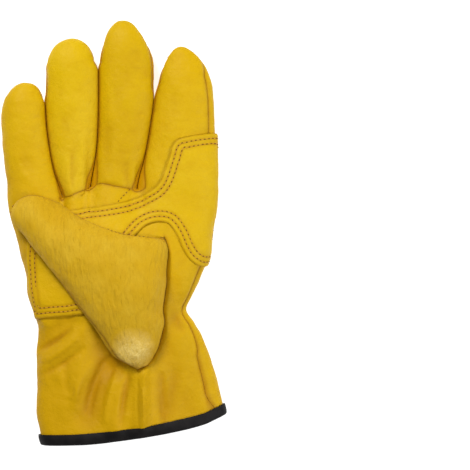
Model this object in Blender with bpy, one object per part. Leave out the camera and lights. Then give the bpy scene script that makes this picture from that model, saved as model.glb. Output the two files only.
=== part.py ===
"""Right-hand leather work glove, lying on its back with the palm up and the thumb folded over it.

The glove is one hollow leather skin. Its surface is worked out once, as rings of points around the
cuff, the hand and each finger, and is then cut along its seams into the panels that a glover sews:
each panel gets the leather's thickness and stands back a little from its neighbours.
+X runs to the index finger's side, +Y to the fingertips and +Z up; the origin is where the middle of
the hand rests. Lengths are in metres.
"""

import math

import bmesh
import bpy
import numpy as np
from mathutils import Vector
from mathutils.bvhtree import BVHTree

# Lengths and widths of the glove
PALM_WIDTH = 0.125
HAND_LENGTH = 0.149
LITTLE_LENGTH = 0.0615
RING_LENGTH = 0.0866
MIDDLE_LENGTH = 0.0977
INDEX_LENGTH = 0.0832
THUMB_LENGTH = 0.0965
REST_POINT = 0.078

# Depths: the side edges stand above the floor, and the leather swells above them
EDGE_HEIGHT = 0.0084
EDGE_RADIUS = 0.0085
HAND_SHOULDER = 0.0065
HAND_CROWN = 0.0078
FINGER_RISE = 0.0085
FINGERTIP_LIFT = 0.0035
THUMB_EDGE = 0.0038
THUMB_CROWN = 0.0054

# Leather and the way that it is sewn. BINDING_ROW is the first row of points past the binding
LEATHER = 0.0012
PATCH_LEATHER = 0.0011
BINDING_LEATHER = 0.0010
BINDING_WIDTH = 0.0061
BINDING_ROW = BINDING_WIDTH + 0.0024
SEAM_GAP = 0.00045
LAY_GAP = 0.0006
BINDING_GAP = 0.0005
THUMB_GAP = 0.0006
SIDE_SEAM_INSET = 0.0044
CUFF_SEAM_SHARE = 0.4
WEB_DIP = 0.0018
KNUCKLE_BLEND = 0.030
BINDING_BLEND = 0.015
THUMB_SHELF = 0.013
THUMB_REST = 0.0009
MERGE_DISTANCE = 0.00002

# How far the seams of a finger's sides lie round its section, in degrees from its side edges
FORK_SEAM = 30
OUTER_SEAM = 35
ROOT_REACH = 0.24
FLAT_SHARE = 0.6

# The hand from the cuff to the finger roots: place along HAND_LENGTH, its two side edges as shares of
# PALM_WIDTH from the glove's axis, and shares of EDGE_HEIGHT, HAND_SHOULDER and HAND_CROWN
HAND_SECTIONS = [
    # along, left, right, edge, shoulder, crown
    (0.000, -0.329, 0.542, 0.95, 0.80, 0.55),
    (0.097, -0.350, 0.528, 0.95, 0.80, 0.60),
    (0.214, -0.356, 0.500, 0.90, 0.80, 0.66),
    (0.331, -0.360, 0.458, 0.88, 0.85, 0.72),
    (0.409, -0.352, 0.426, 0.90, 0.90, 0.78),
    (0.467, -0.352, 0.388, 0.95, 0.92, 0.84),
    (0.522, -0.372, 0.345, 1.00, 0.95, 0.92),
    (0.576, -0.394, 0.364, 1.02, 1.00, 0.98),
    (0.642, -0.404, 0.398, 1.04, 1.00, 1.00),
    (0.720, -0.427, 0.437, 1.04, 1.00, 1.00),
    (0.837, -0.463, 0.460, 1.02, 1.00, 0.90),
    (0.934, -0.487, 0.473, 1.00, 1.00, 0.75),
    (1.000, -0.498, 0.477, 1.00, 1.00, 0.65),
    (1.100, -0.503, 0.480, 1.00, 1.00, 0.60),
]

# The cut edge of the cuff, and the line of the finger roots: place across the hand, then along it
CUFF_EDGE = [
    # across, along
    (0.00, 0.004),
    (0.22, 0.009),
    (0.35, 0.018),
    (0.60, 0.044),
    (0.80, 0.073),
    (0.90, 0.093),
    (1.00, 0.124),
]
ROOT_LINE = [
    # across, as a share of PALM_WIDTH from the axis, then along
    (-0.500, 0.985),
    (-0.350, 0.975),
    (-0.230, 0.966),
    (-0.109, 1.004),
    (-0.065, 1.018),
    (0.020, 1.006),
    (0.107, 0.996),
    (0.200, 1.008),
    (0.480, 1.012),
]

# Each finger from the root line to its tip: place along its length, and its sides as shares of
# PALM_WIDTH. The tip is a rounded cap: its centre, its share of the length and its bluntness. At
# the root its front seams lie further round, by the angles of root_seams (left, right)
FINGERS = {
    "little": {
        "length": LITTLE_LENGTH,
        "tip": -0.392,
        "cap": 0.33,
        "blunt": 2.4,
        "root_seams": (35, 26),
        "sides": [
            # along, left, right
            (-0.12, -0.493, -0.236),
            (0.00, -0.498, -0.250),
            (0.15, -0.505, -0.276),
            (0.35, -0.514, -0.298),
            (0.65, -0.518, -0.317),
            (1.00, -0.514, -0.317),
        ],
    },
    "ring": {
        "length": RING_LENGTH,
        "tip": -0.187,
        "cap": 0.235,
        "blunt": 2.5,
        "root_seams": (26, 49),
        "sides": [
            (-0.07, -0.226, -0.109),
            (0.00, -0.246, -0.110),
            (0.09, -0.268, -0.100),
            (0.19, -0.284, -0.087),
            (0.29, -0.295, -0.078),
            (0.45, -0.307, -0.072),
            (0.65, -0.312, -0.071),
            (0.80, -0.309, -0.073),
            (1.00, -0.301, -0.088),
        ],
    },
    "middle": {
        "length": MIDDLE_LENGTH,
        "tip": 0.046,
        "cap": 0.30,
        "blunt": 2.1,
        "root_seams": (39, 39),
        "sides": [
            (-0.04, -0.106, 0.106),
            (0.00, -0.105, 0.108),
            (0.08, -0.095, 0.121),
            (0.17, -0.082, 0.141),
            (0.27, -0.073, 0.157),
            (0.37, -0.068, 0.170),
            (0.52, -0.065, 0.186),
            (0.66, -0.063, 0.192),
            (0.80, -0.060, 0.190),
            (1.00, -0.051, 0.164),
        ],
    },
    "index": {
        "length": INDEX_LENGTH,
        "tip": 0.319,
        "cap": 0.42,
        "blunt": 2.0,
        "root_seams": (36, 35),
        "sides": [
            (-0.04, 0.112, 0.476),
            (0.00, 0.113, 0.477),
            (0.09, 0.125, 0.479),
            (0.20, 0.146, 0.481),
            (0.32, 0.163, 0.481),
            (0.45, 0.178, 0.479),
            (0.60, 0.194, 0.475),
            (0.75, 0.205, 0.472),
            (1.00, 0.214, 0.463),
        ],
    },
}

# Places of the rows of points along a finger, between which the seams leave its sides towards its
# tip, and how many of the steps between rows the forks take part in
FINGER_STATIONS = (0, 0.07, 0.16, 0.28, 0.41, 0.54, 0.66, 0.77, 0.86, 0.93, 0.976, 1)
SEAM_TAPER = (0.76, 0.93)
FORK_STEPS = 8

# The hole that the thumb is sewn into, from the cuff upwards: how far up the column of points that
# it opens, and its two edges across the hand. Where they are equal the leather is closed
THUMB_HOLE = [
    # up, left, right
    (0.000, 0.536, 0.536),
    (0.130, 0.558, 0.558),
    (0.258, 0.578, 0.578),
    (0.278, 0.545, 0.634),
    (0.335, 0.512, 0.705),
    (0.421, 0.512, 0.783),
    (0.502, 0.560, 0.874),
    (0.603, 0.574, 0.838),
    (0.696, 0.604, 0.798),
    (0.765, 0.675, 0.790),
    (0.814, 0.768, 0.768),
    (0.907, 0.690, 0.690),
]
CUFF_ROWS = (0.12, 0.17, 0.215)
HOLE_ROWS = (0.258, 0.278, 0.335, 0.40, 0.46, 0.52, 0.58, 0.64, 0.70, 0.765, 0.814)
UPPER_ROWS = (0.855, 0.895, 0.93, 0.965, 1.0)

# The thumb from the hole to its tip: its middle as shares of THUMB_LENGTH to the left and up, its
# half width as a share of the hole's half length, and the lean of its section from the glove's axis
THUMB_SECTIONS = [
    # along, left, up, half, lean
    (0.00, 0.000, 0.000, 1.000, -11.6),
    (0.12, 0.102, 0.036, 0.937, -14.0),
    (0.25, 0.207, 0.110, 0.778, -14.5),
    (0.40, 0.333, 0.204, 0.641, -15.0),
    (0.55, 0.460, 0.309, 0.519, -17.0),
    (0.70, 0.577, 0.419, 0.438, -19.0),
    (0.82, 0.670, 0.497, 0.363, -19.5),
    (0.91, 0.742, 0.542, 0.292, -19.0),
    (0.97, 0.798, 0.559, 0.180, -18.0),
    (1.00, 0.829, 0.562, 0.000, -18.0),
]
THUMB_STATIONS = (0, 0.012, 0.035, 0.07, 0.12, 0.19, 0.28, 0.38, 0.49, 0.6, 0.7, 0.79, 0.87, 0.93, 0.97, 1)
THUMB_FOLD = 0.13
THUMB_EVEN = 0.25
THUMB_CAP = 0.22

# The palm patch, as lines across its strip from its outer edge to its inner edge by the thumb's
# hole. X is a share of PALM_WIDTH from the axis and y of HAND_LENGTH; past the side edge it wraps
PATCH_SECTIONS = [
    # outer x, outer y, inner x, inner y
    (0.500, 1.212, 0.462, 0.716),
    (0.478, 1.214, 0.437, 0.702),
    (0.440, 1.212, 0.405, 0.698),
    (0.345, 1.198, 0.362, 0.722),
    (0.290, 1.175, 0.330, 0.762),
    (0.262, 1.105, 0.300, 0.820),
    (0.222, 1.020, 0.262, 0.862),
    (0.155, 0.975, 0.205, 0.868),
    (0.060, 0.945, 0.150, 0.850),
    (-0.060, 0.925, 0.100, 0.805),
    (-0.190, 0.912, 0.060, 0.755),
    (-0.300, 0.890, 0.035, 0.705),
    (-0.372, 0.845, 0.020, 0.660),
    (-0.392, 0.800, 0.010, 0.625),
    (-0.396, 0.720, 0.000, 0.595),
    (-0.382, 0.623, -0.012, 0.565),
    (-0.364, 0.545, -0.024, 0.545),
    (-0.350, 0.494, -0.034, 0.522),
]
PATCH_COLUMNS = 26
PATCH_CROWDING = 1.15
PATCH_ROWS = 10

# Folds pressed into the upper leather, each along a line between two points: x as a share of
# PALM_WIDTH, y of HAND_LENGTH, then the fold's half width and height as shares of EDGE_RADIUS
FOLDS = [
    # x from, y from, x to, y to, width, height
    (-0.060, 0.430, -0.005, 0.300, 0.75, -0.34),
    (-0.005, 0.300, -0.120, 0.110, 0.95, -0.30),
    (0.130, 0.300, 0.135, 0.060, 0.55, 0.26),
    (0.030, 0.240, 0.020, 0.060, 0.60, 0.16),
    (0.215, 0.420, 0.330, 0.130, 0.90, -0.16),
    (-0.330, 0.405, -0.200, 0.480, 0.60, -0.22),
    (-0.300, 0.330, -0.130, 0.440, 0.80, 0.16),
    (-0.230, 0.260, -0.180, 0.080, 1.10, 0.10),
    (0.330, 0.560, 0.260, 0.480, 0.70, -0.20),
]


def ease(share):
    """A smooth step from 0 to 1."""
    share = min(max(share, 0.0), 1.0)
    return share * share * (3 - 2 * share)


def blend(start, end, share):
    return start + (end - start) * share


def read(table, at, column):
    """A table's column at a place between its rows, along a smooth curve through them."""
    places = [row[0] for row in table]
    values = [row[column] for row in table]
    at = min(max(at, places[0]), places[-1])
    after = next((i for i in range(1, len(places) - 1) if at <= places[i]), len(places) - 1)
    before = after - 1
    span = places[after] - places[before]

    def slope(i):
        low, high = max(i - 1, 0), min(i + 1, len(places) - 1)
        return (values[high] - values[low]) / (places[high] - places[low])

    u = (at - places[before]) / span
    return (
        values[before] * (1 + 2 * u) * (1 - u) ** 2
        + slope(before) * span * u * (1 - u) ** 2
        + values[after] * u * u * (3 - 2 * u)
        + slope(after) * span * u * u * (u - 1)
    )


def rounding(depth):
    """The rise of a quarter round, from 0 at its edge to 1 where it has turned level."""
    depth = min(max(depth, 0.0), 1.0)
    return math.sqrt(1 - (1 - depth) ** 2)


def hand_edges(y):
    """The x of the hand's two side edges at a place along it."""
    along = (y + REST_POINT) / HAND_LENGTH
    return tuple(read(HAND_SECTIONS, along, column) * PALM_WIDTH for column in (1, 2))


def cuff_line(across):
    return read(CUFF_EDGE, across, 1) * HAND_LENGTH - REST_POINT


def root_line(x):
    return read(ROOT_LINE, x / PALM_WIDTH, 1) * HAND_LENGTH - REST_POINT


ROOT_Y = HAND_LENGTH - REST_POINT


def finger_cap(finger, along):
    """The share of its full section that a finger has near its tip."""
    start = 1 - finger["cap"]
    if along <= start:
        return 1.0
    into = min((along - start) / finger["cap"], 1.0)
    return (1 - into ** finger["blunt"]) ** (1 / finger["blunt"])


def finger_span(finger, y):
    """A finger's middle and half width at a place along it, and the share left by its tip."""
    along = (y - ROOT_Y) / finger["length"]
    left, right = (read(finger["sides"], along, column) * PALM_WIDTH for column in (1, 2))
    cap = finger_cap(finger, along)
    middle = blend(finger["tip"] * PALM_WIDTH, (left + right) / 2, cap)
    return middle, (right - left) / 2 * cap, cap


def finger_level(finger, y):
    """The height of a finger's side edges, which lift a little towards the tip."""
    along = min(max((y - ROOT_Y) / finger["length"], 0.0), 1.0)
    return EDGE_HEIGHT + FINGERTIP_LIFT * along**2


def finger_height(finger, x, y, upper):
    """The height of a finger's skin over a point of the plan."""
    middle, half, cap = finger_span(finger, y)
    level = finger_level(finger, y)
    if half < 1e-9:
        return level
    depth = 1 - min(abs(x - middle) / half, 1.0)
    if upper:
        return level + FINGER_RISE * cap * rounding(depth)
    return level - EDGE_HEIGHT * cap * rounding(depth / FLAT_SHARE)


def root_height(x, upper):
    """The height of the skin at the finger roots, with a valley between each two fingers."""
    names = list(FINGERS)
    y = root_line(x)
    for i, name in enumerate(names):
        middle, half, _ = finger_span(FINGERS[name], y)
        if x <= middle + half or i == len(names) - 1:
            break
    outer_left = i == 0 and x < middle
    outer_right = i == len(names) - 1 and x > middle
    if not (outer_left or outer_right):
        seams = FINGERS[name]["root_seams"] if upper else (FORK_SEAM, FORK_SEAM)
        left, right = (half * math.cos(math.radians(angle)) for angle in seams)
        x = min(max(x, middle - left), middle + right)
    return finger_height(FINGERS[name], x, y, upper)


def fold_height(x, y):
    """What the pressed folds add to the upper leather at a point of the plan."""
    total = 0.0
    for x1, y1, x2, y2, width, height in FOLDS:
        start = np.array([x1 * PALM_WIDTH, y1 * HAND_LENGTH - REST_POINT])
        run = np.array([x2 * PALM_WIDTH, y2 * HAND_LENGTH - REST_POINT]) - start
        away = np.array([x, y]) - start
        share = min(max(away @ run / (run @ run), 0.0), 1.0)
        apart = np.linalg.norm(away - share * run) / (width * EDGE_RADIUS)
        total += height * EDGE_RADIUS * math.exp(-(apart**2))
    return total


def binding_lift(y, across):
    """The cuff's underside stands off the floor by the binding that is folded round it."""
    past = (y - cuff_line(across) - BINDING_ROW) / BINDING_BLEND
    return (BINDING_LEATHER + BINDING_GAP) * (1 - ease(past))


def hand_height(x, y, upper):
    """The height of the hand's skin over a point of the plan, away from the fingers."""
    left, right = hand_edges(y)
    along = (y + REST_POINT) / HAND_LENGTH
    across = min(max((x - left) / (right - left), 0.0), 1.0)
    depth = min(across, 1 - across) * (right - left) / EDGE_RADIUS
    level = EDGE_HEIGHT * read(HAND_SECTIONS, along, 3)
    if not upper:
        return level - (level - binding_lift(y, across)) * rounding(depth)
    swell = 4 * across * (1 - across)
    shoulder = HAND_SHOULDER * read(HAND_SECTIONS, along, 4) * rounding(depth)
    crown = HAND_CROWN * read(HAND_SECTIONS, along, 5) * swell
    return level + shoulder + crown + fold_height(x, y) * rounding(depth * FLAT_SHARE)


def skin_height(x, y, upper=True):
    """The height of the glove's outer skin over a point of the plan."""
    root = root_line(x)
    if y >= root:
        inside = [f for f in FINGERS.values() if abs(x - finger_span(f, y)[0]) <= finger_span(f, y)[1]]
        return finger_height(inside[0], x, y, upper) if inside else root_height(x, upper)
    share = ease(1 - (root - y) / KNUCKLE_BLEND)
    hand = hand_height(x, y, upper) if share < 1 else 0.0
    return blend(hand, root_height(x, upper), share) if share > 0 else hand


FRONT_STEPS = 5
SIDE_STEPS = 4
WEB_STEPS = 2
EDGE_CROWDING = 0.45


def side_seams(name, station):
    """How far round from its left and right side edges a finger's seams lie, tapering to its tip."""
    taper = 1 - ease((station - SEAM_TAPER[0]) / (SEAM_TAPER[1] - SEAM_TAPER[0]))
    left = OUTER_SEAM if name == "little" else FORK_SEAM
    right = OUTER_SEAM if name == "index" else FORK_SEAM
    return math.radians(left) * taper, math.radians(right) * taper


def finger_ring(name, station):
    """The points round a finger, from the seam under its left side, over the top and back."""
    finger = FINGERS[name]
    left, right = side_seams(name, station)
    left_root, right_root = (math.radians(angle) for angle in finger["root_seams"])
    near_root = 1 - ease(station / ROOT_REACH)
    front_left = math.pi - blend(left, left_root, near_root)
    front_right = blend(right, right_root, near_root)
    turns = [math.pi + left, front_left, front_right, -right, left - math.pi]
    steps = [SIDE_STEPS, FRONT_STEPS, SIDE_STEPS, FRONT_STEPS]
    angles = []
    for start, end, count in zip(turns, turns[1:], steps):
        angles += [blend(start, end, k / count) for k in range(count)]
    points = []
    for angle in angles:
        middle, half, _ = finger_span(finger, ROOT_Y)
        root = root_line(middle + half * math.cos(angle))
        tip = ROOT_Y + finger["length"]
        y = blend(root, tip, station)
        middle, half, _ = finger_span(finger, y)
        x = middle + half * math.cos(angle)
        points.append(Vector((x, y, finger_height(finger, x, y, math.sin(angle) >= 0))))
    return points


def web_middle(left_point, right_point):
    """The deepest point of the web between two fingers, between their seams at one height."""
    middle = (left_point + right_point) / 2
    return middle - Vector((0, WEB_DIP, 0))


# Where each part of a finger's ring starts, in the order that finger_ring lists its points
LEFT_SIDE, FRONT, RIGHT_SIDE, BACK = 0, SIDE_STEPS, SIDE_STEPS + FRONT_STEPS, 2 * SIDE_STEPS + FRONT_STEPS
RING_COUNT = 2 * (SIDE_STEPS + FRONT_STEPS)


def root_ring():
    """The ring of points at the finger roots, and the panel that each step of it belongs to."""
    rings = {name: finger_ring(name, 0) for name in FINGERS}
    names = list(FINGERS)
    points, panels = [], []

    def add(some, panel):
        points.extend(some)
        panels.extend([panel] * len(some))

    add(rings["little"][LEFT_SIDE:FRONT], "palm")
    for i, name in enumerate(names):
        ring = rings[name]
        add(ring[FRONT:RIGHT_SIDE], "palm")
        if i + 1 < len(names):
            neighbour = rings[names[i + 1]]
            add([ring[RIGHT_SIDE], web_middle(ring[RIGHT_SIDE], neighbour[FRONT])], "palm")
    add(rings["index"][RIGHT_SIDE:BACK], "back")
    for i, name in reversed(list(enumerate(names))):
        ring = rings[name]
        add(ring[BACK:], "back")
        if i > 0:
            neighbour = rings[names[i - 1]]
            add([ring[0], web_middle(neighbour[BACK], ring[0])], "back")
    return points, panels


def spread(count, inset):
    """Places across the hand for a ring's upper or lower half, closer together at its edges."""
    side = SIDE_STEPS // 2
    edge = [inset * (k / side) ** 2 for k in range(side)]
    middle = []
    for k in range(count - 2 * side + 1):
        share = k / (count - 2 * side)
        eased = (1 - math.cos(math.pi * share)) / 2
        middle.append(blend(inset, 1 - inset, blend(share, eased, EDGE_CROWDING)))
    return edge + middle + [1 - place for place in reversed(edge)]


def hand_rings():
    """Rows of points from the cuff to the finger roots, with their places along the hand.

    Each row goes round the hand as a left and a right run, which meet at the column through the
    thumb's hole and part where the hole is open. Each run comes with its steps' panels.
    """
    roots, panels = root_ring()
    count = len(roots)
    side = SIDE_STEPS // 2
    half = count // 2
    left_edge, right_edge = side, side + half
    hole = SIDE_STEPS + 3 * FRONT_STEPS + 2 * WEB_STEPS + WEB_STEPS // 2
    cuff_width = np.ptp(hand_edges(-REST_POINT))
    places = spread(half, SIDE_SEAM_INSET / cuff_width)

    across_root = []
    for point in roots:
        left, right = hand_edges(point.y)
        across_root.append((point.x - left) / (right - left))

    table = THUMB_HOLE + [(1.0, across_root[hole], across_root[hole])]
    rows = [0.0, BINDING_ROW / HAND_LENGTH, *CUFF_ROWS, *HOLE_ROWS, *UPPER_ROWS]

    def point(i, up, opening):
        upper = left_edge <= i % count <= right_edge
        rank = (i - left_edge) % count
        start = places[rank] if rank <= half else places[count - rank]
        if half - side <= rank <= half:
            start = 1 - (1 - start) * blend(CUFF_SEAM_SHARE, 1, ease(up / CUFF_ROWS[0]))
        share = ease(up)
        across = blend(start, across_root[i % count], share)
        bottom_start = start
        if upper:
            rank_hole = hole - left_edge
            natural = blend(places[rank_hole], across_root[hole], share)
            cuff_natural = places[rank_hole]
            cuff_hole = THUMB_HOLE[0][1]
            edges = [read(table, up, 1), read(table, up, 2)]
            if not HOLE_ROWS[0] < up < HOLE_ROWS[-1]:
                edges = [sum(edges) / 2] * 2
            if i < hole or (i == hole and opening == 1):
                across *= edges[0] / natural
                bottom_start = start * cuff_hole / cuff_natural
            else:
                across = 1 - (1 - across) * (1 - edges[1]) / (1 - natural)
                bottom_start = 1 - (1 - start) * (1 - cuff_hole) / (1 - cuff_natural)
        if up == 1.0:
            return roots[i % count].copy()
        y = blend(cuff_line(bottom_start), roots[i % count].y, up)
        left, right = hand_edges(y)
        x = blend(left, right, across)
        return Vector((x, y, skin_height(x, y, upper)))

    runs = []
    for up in rows:
        left_run = [point(i, up, 1) for i in range(0, hole + 1)]
        right_run = [point(i, up, 2) for i in range(hole, count + 1)]
        runs.append((left_run, right_run))
    return rows, runs, (panels[:hole], panels[hole:])


class Skin:
    """A surface of faces that each belong to a panel, cut from it later along the seams."""

    def __init__(self, panels):
        self.mesh = bmesh.new()
        self.panels = panels
        self.tag = self.mesh.faces.layers.int.new("panel")

    def grid(self, rows, panels):
        """Adds a face between each two neighbours of two rows. panels names each step's panel."""
        verts = [[self.mesh.verts.new(point) for point in row] for row in rows]
        for low, high in zip(verts, verts[1:]):
            for i, panel in enumerate(panels):
                face = self.mesh.faces.new((low[i], low[i + 1], high[i + 1], high[i]))
                face[self.tag] = self.panels.index(panel)

    def close(self):
        """Joins the grids where they meet, and works out the skin's normals."""
        bmesh.ops.remove_doubles(self.mesh, verts=self.mesh.verts[:], dist=MERGE_DISTANCE)
        self.mesh.normal_update()
        self.mesh.verts.index_update()

    def faces_of(self, panel):
        number = self.panels.index(panel)
        return [face for face in self.mesh.faces if face[self.tag] == number]


def stand_back(faces, gap):
    """For each vertex on the border of these faces, the step that sets it back by the gap."""
    inward = {}
    chosen = set(faces)
    for face in faces:
        for loop in face.loops:
            if any(other is not face and other in chosen for other in loop.edge.link_faces):
                continue
            run = (loop.link_loop_next.vert.co - loop.vert.co).normalized()
            side = face.normal.cross(run)
            for vert in loop.edge.verts:
                inward.setdefault(vert, []).append(side)
    steps = {}
    for vert, sides in inward.items():
        total = sum(sides, Vector())
        spread_of = max(total.length_squared / len(sides), 0.6)
        steps[vert] = total * (gap / spread_of)
    return steps


def leather_mesh(faces, thickness, gap, lift=0.0):
    """A closed body: these faces as the leather's outer side, set back at their border, and the
    same faces again one thickness below, with a rim between them."""
    steps = stand_back(faces, gap)
    mesh = bmesh.new()
    pairs = {}
    for vert in {v for face in faces for v in face.verts}:
        place = vert.co + steps.get(vert, Vector()) + vert.normal * lift
        place.z = max(place.z, 0.0)
        pairs[vert] = (mesh.verts.new(place), mesh.verts.new(place - vert.normal * thickness))
    chosen = set(faces)
    for face in faces:
        mesh.faces.new([pairs[v][0] for v in face.verts])
        mesh.faces.new([pairs[v][1] for v in reversed(face.verts)])
        for loop in face.loops:
            if any(other is not face and other in chosen for other in loop.edge.link_faces):
                continue
            start, end = loop.vert, loop.link_loop_next.vert
            mesh.faces.new((pairs[end][0], pairs[start][0], pairs[start][1], pairs[end][1]))
    return mesh


def leather_material(name, colour, roughness):
    material = bpy.data.materials.get(name) or bpy.data.materials.new(name)
    material.use_nodes = True
    shader = material.node_tree.nodes["Principled BSDF"]
    shader.inputs["Base Color"].default_value = (*colour, 1)
    shader.inputs["Roughness"].default_value = roughness
    shader.inputs["Metallic"].default_value = 0
    return material


def place_piece(name, mesh, material, collection):
    """Puts a finished mesh into the scene as one named piece."""
    data = bpy.data.meshes.new(name)
    mesh.to_mesh(data)
    mesh.free()
    data.shade_smooth()
    data.set_sharp_from_angle(angle=math.radians(40))
    data.materials.append(material)
    piece = bpy.data.objects.new(name, data)
    collection.objects.link(piece)
    return piece


FRONT_PANELS = {"little": "palm", "ring": "ring_front", "middle": "middle_front", "index": "palm"}
SIDE_PANELS = {
    # finger: left side, right side
    "little": ("palm", "little_ring_fork"),
    "ring": ("little_ring_fork", "ring_middle_fork"),
    "middle": ("ring_middle_fork", "middle_index_fork"),
    "index": ("middle_index_fork", "back"),
}
HAND_PANELS = [
    "palm",
    "back",
    "ring_front",
    "middle_front",
    "little_ring_fork",
    "ring_middle_fork",
    "middle_index_fork",
]


def make_hand_skin():
    """The whole outer skin of the hand, fingers and cuff, with a hole for the thumb."""
    skin = Skin(HAND_PANELS)
    rows, runs, panels = hand_rings()
    for side in (0, 1):
        skin.grid([run[side] for run in runs], panels[side])
    for name in FINGERS:
        rings = [finger_ring(name, station) for station in FINGER_STATIONS]
        closed = [ring + ring[:1] for ring in rings]
        left, right = SIDE_PANELS[name]
        front = [FRONT_PANELS[name]] * FRONT_STEPS
        back = ["back"] * FRONT_STEPS
        skin.grid(closed[: FORK_STEPS + 1], [left] * SIDE_STEPS + front + [right] * SIDE_STEPS + back)
        left = "palm" if name == "little" else "back"
        skin.grid(closed[FORK_STEPS:], [left] * SIDE_STEPS + front + ["back"] * SIDE_STEPS + back)
    names = list(FINGERS)
    for name, neighbour in zip(names, names[1:]):
        here = finger_ring(name, 0)[RIGHT_SIDE : BACK + 1]
        there = (finger_ring(neighbour, 0) * 2)[LEFT_SIDE : FRONT + 1][::-1]
        top, bottom = web_middle(here[0], there[0]), web_middle(here[-1], there[-1])
        middle = [blend(top, bottom, k / SIDE_STEPS) for k in range(SIDE_STEPS + 1)]
        panel = SIDE_PANELS[name][1]
        skin.grid([middle, here], [panel] * SIDE_STEPS)
        skin.grid([there, middle], [panel] * SIDE_STEPS)
    skin.close()
    return skin, rows, runs


def inset_outline(points, gap):
    """A closed outline's points moved inwards by the gap in plan; it runs clockwise from above."""
    moved = []
    for before, point, after in zip(points[-1:] + points[:-1], points, points[1:] + points[:1]):
        sides = [(point - before).xy.normalized(), (after - point).xy.normalized()]
        inward = sum((Vector((run.y, -run.x)) for run in sides), Vector((0, 0)))
        step = inward * (gap / max(inward.length_squared / 2, 0.5))
        moved.append(point + Vector((step.x, step.y, 0)))
    return moved


def thumb_floor(x, y):
    """The height that the thumb's underside lies at: over the palm and its patch, and across any
    hollow fold."""
    left, right = hand_edges(y)
    held = min(max(x, left + THUMB_SHELF), right - THUMB_SHELF)
    highest = max(skin_height(held, y), skin_height(min(max(x, left), right), y))
    return highest - min(fold_height(held, y), 0.0) + 2 * LAY_GAP + PATCH_LEATHER


def thumb_rings(rows, runs):
    """Rings of points along the thumb: up its right side from the hole's foot, and back down."""
    first, last = rows.index(HOLE_ROWS[0]), rows.index(HOLE_ROWS[-1])
    left_rim = [runs[j][0][-1] for j in range(first, last + 1)]
    right_rim = [runs[j][1][0] for j in range(first, last + 1)]
    foot, head = left_rim[0], left_rim[-1]
    base = (foot + head) / 2
    half_hole = math.hypot(head.x - foot.x, head.y - foot.y) / 2
    steps = len(left_rim) - 1
    outline = inset_outline(left_rim[:-1] + right_rim[:0:-1], THUMB_GAP)
    left_rim = outline[: steps + 1]
    right_rim = outline[:1] + outline[:steps - 1 : -1]
    stem = THUMB_STATIONS[1]

    def section(station):
        left, up, half, lean = (read(THUMB_SECTIONS, station, column) for column in (1, 2, 3, 4))
        middle = Vector((base.x - left * THUMB_LENGTH, base.y + up * THUMB_LENGTH))
        turn = math.radians(lean)
        reach = Vector((-math.sin(turn), math.cos(turn))) * half * half_hole
        return middle - reach, middle + reach

    def point(station, k, rim, upper):
        rim_share = (rim[k].y - foot.y) / (head.y - foot.y)
        eased = blend(k / steps, (1 - math.cos(math.pi * k / steps)) / 2, EDGE_CROWDING)
        travel = max(station - stem, 0) / (1 - stem)
        share = blend(rim_share, eased, ease(travel / THUMB_EVEN))
        low, high = section(travel)
        plan = blend(low, high, share)
        low, high = section(0)
        bulge = Vector(rim[k].xy) - blend(low, high, rim_share)
        plan = plan + bulge * (1 - travel) ** (3 if upper else 2)
        width = 2 * read(THUMB_SECTIONS, station, 3) * half_hole
        depth = min(share, 1 - share) * width / EDGE_RADIUS
        cap = rounding((1 - station) / THUMB_CAP)
        floor = thumb_floor(plan.x, plan.y)
        level = floor + THUMB_EDGE
        if upper:
            swell = 4 * share * (1 - share)
            height = level + (THUMB_EDGE * rounding(depth) + THUMB_CROWN * swell) * cap
        else:
            height = level - THUMB_EDGE * rounding(depth) * cap
        start = rim[k].z - LEATHER
        rise = rounding(station / THUMB_FOLD) if upper else min(station / stem, 1.0)
        return Vector((plan.x, plan.y, blend(start, height, rise)))

    rings = []
    for station in THUMB_STATIONS:
        up = [point(station, k, left_rim, False) for k in range(steps)]
        down = [point(station, k, right_rim, True) for k in range(steps, 0, -1)]
        rings.append(up + down)
    return rings


def settle(skin, shortfall, tested, moved, reach):
    """Moves a skin until the tested faces stand clear of what they lie on.

    shortfall gives the step that a point still has to make. The moved vertices take the largest of
    these steps, each fading with the distance from where it is needed.
    """
    edges = {edge for face in tested for edge in face.edges}
    corners = {vert for face in tested for vert in face.verts}
    for _ in range(8):
        spots = [vert.co.copy() for vert in corners]
        spots += [(edge.verts[0].co + edge.verts[1].co) / 2 for edge in edges]
        spots += [face.calc_center_median() for face in tested]
        needed = [(spot, shortfall(spot)) for spot in spots]
        needed = [(spot, step) for spot, step in needed if step.length > 0]
        if not needed:
            break
        places = np.array([spot for spot, _ in needed])
        steps = np.array([step for _, step in needed])
        sizes = np.linalg.norm(steps, axis=1)
        for vert in moved:
            apart = np.linalg.norm(places - np.array(vert.co), axis=1)
            share = np.exp(-((apart / reach) ** 2))
            most = int(np.argmax(sizes * share))
            vert.co += Vector(steps[most] * share[most])
    skin.mesh.normal_update()


def surface_tree(skins):
    """One search tree over the faces of several meshes."""
    points, faces = [], []
    for mesh in skins:
        mesh.verts.index_update()
        first = len(points)
        points += [vert.co.copy() for vert in mesh.verts]
        faces += [[first + vert.index for vert in face.verts] for face in mesh.faces]
    return BVHTree.FromPolygons(points, faces)


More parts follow.
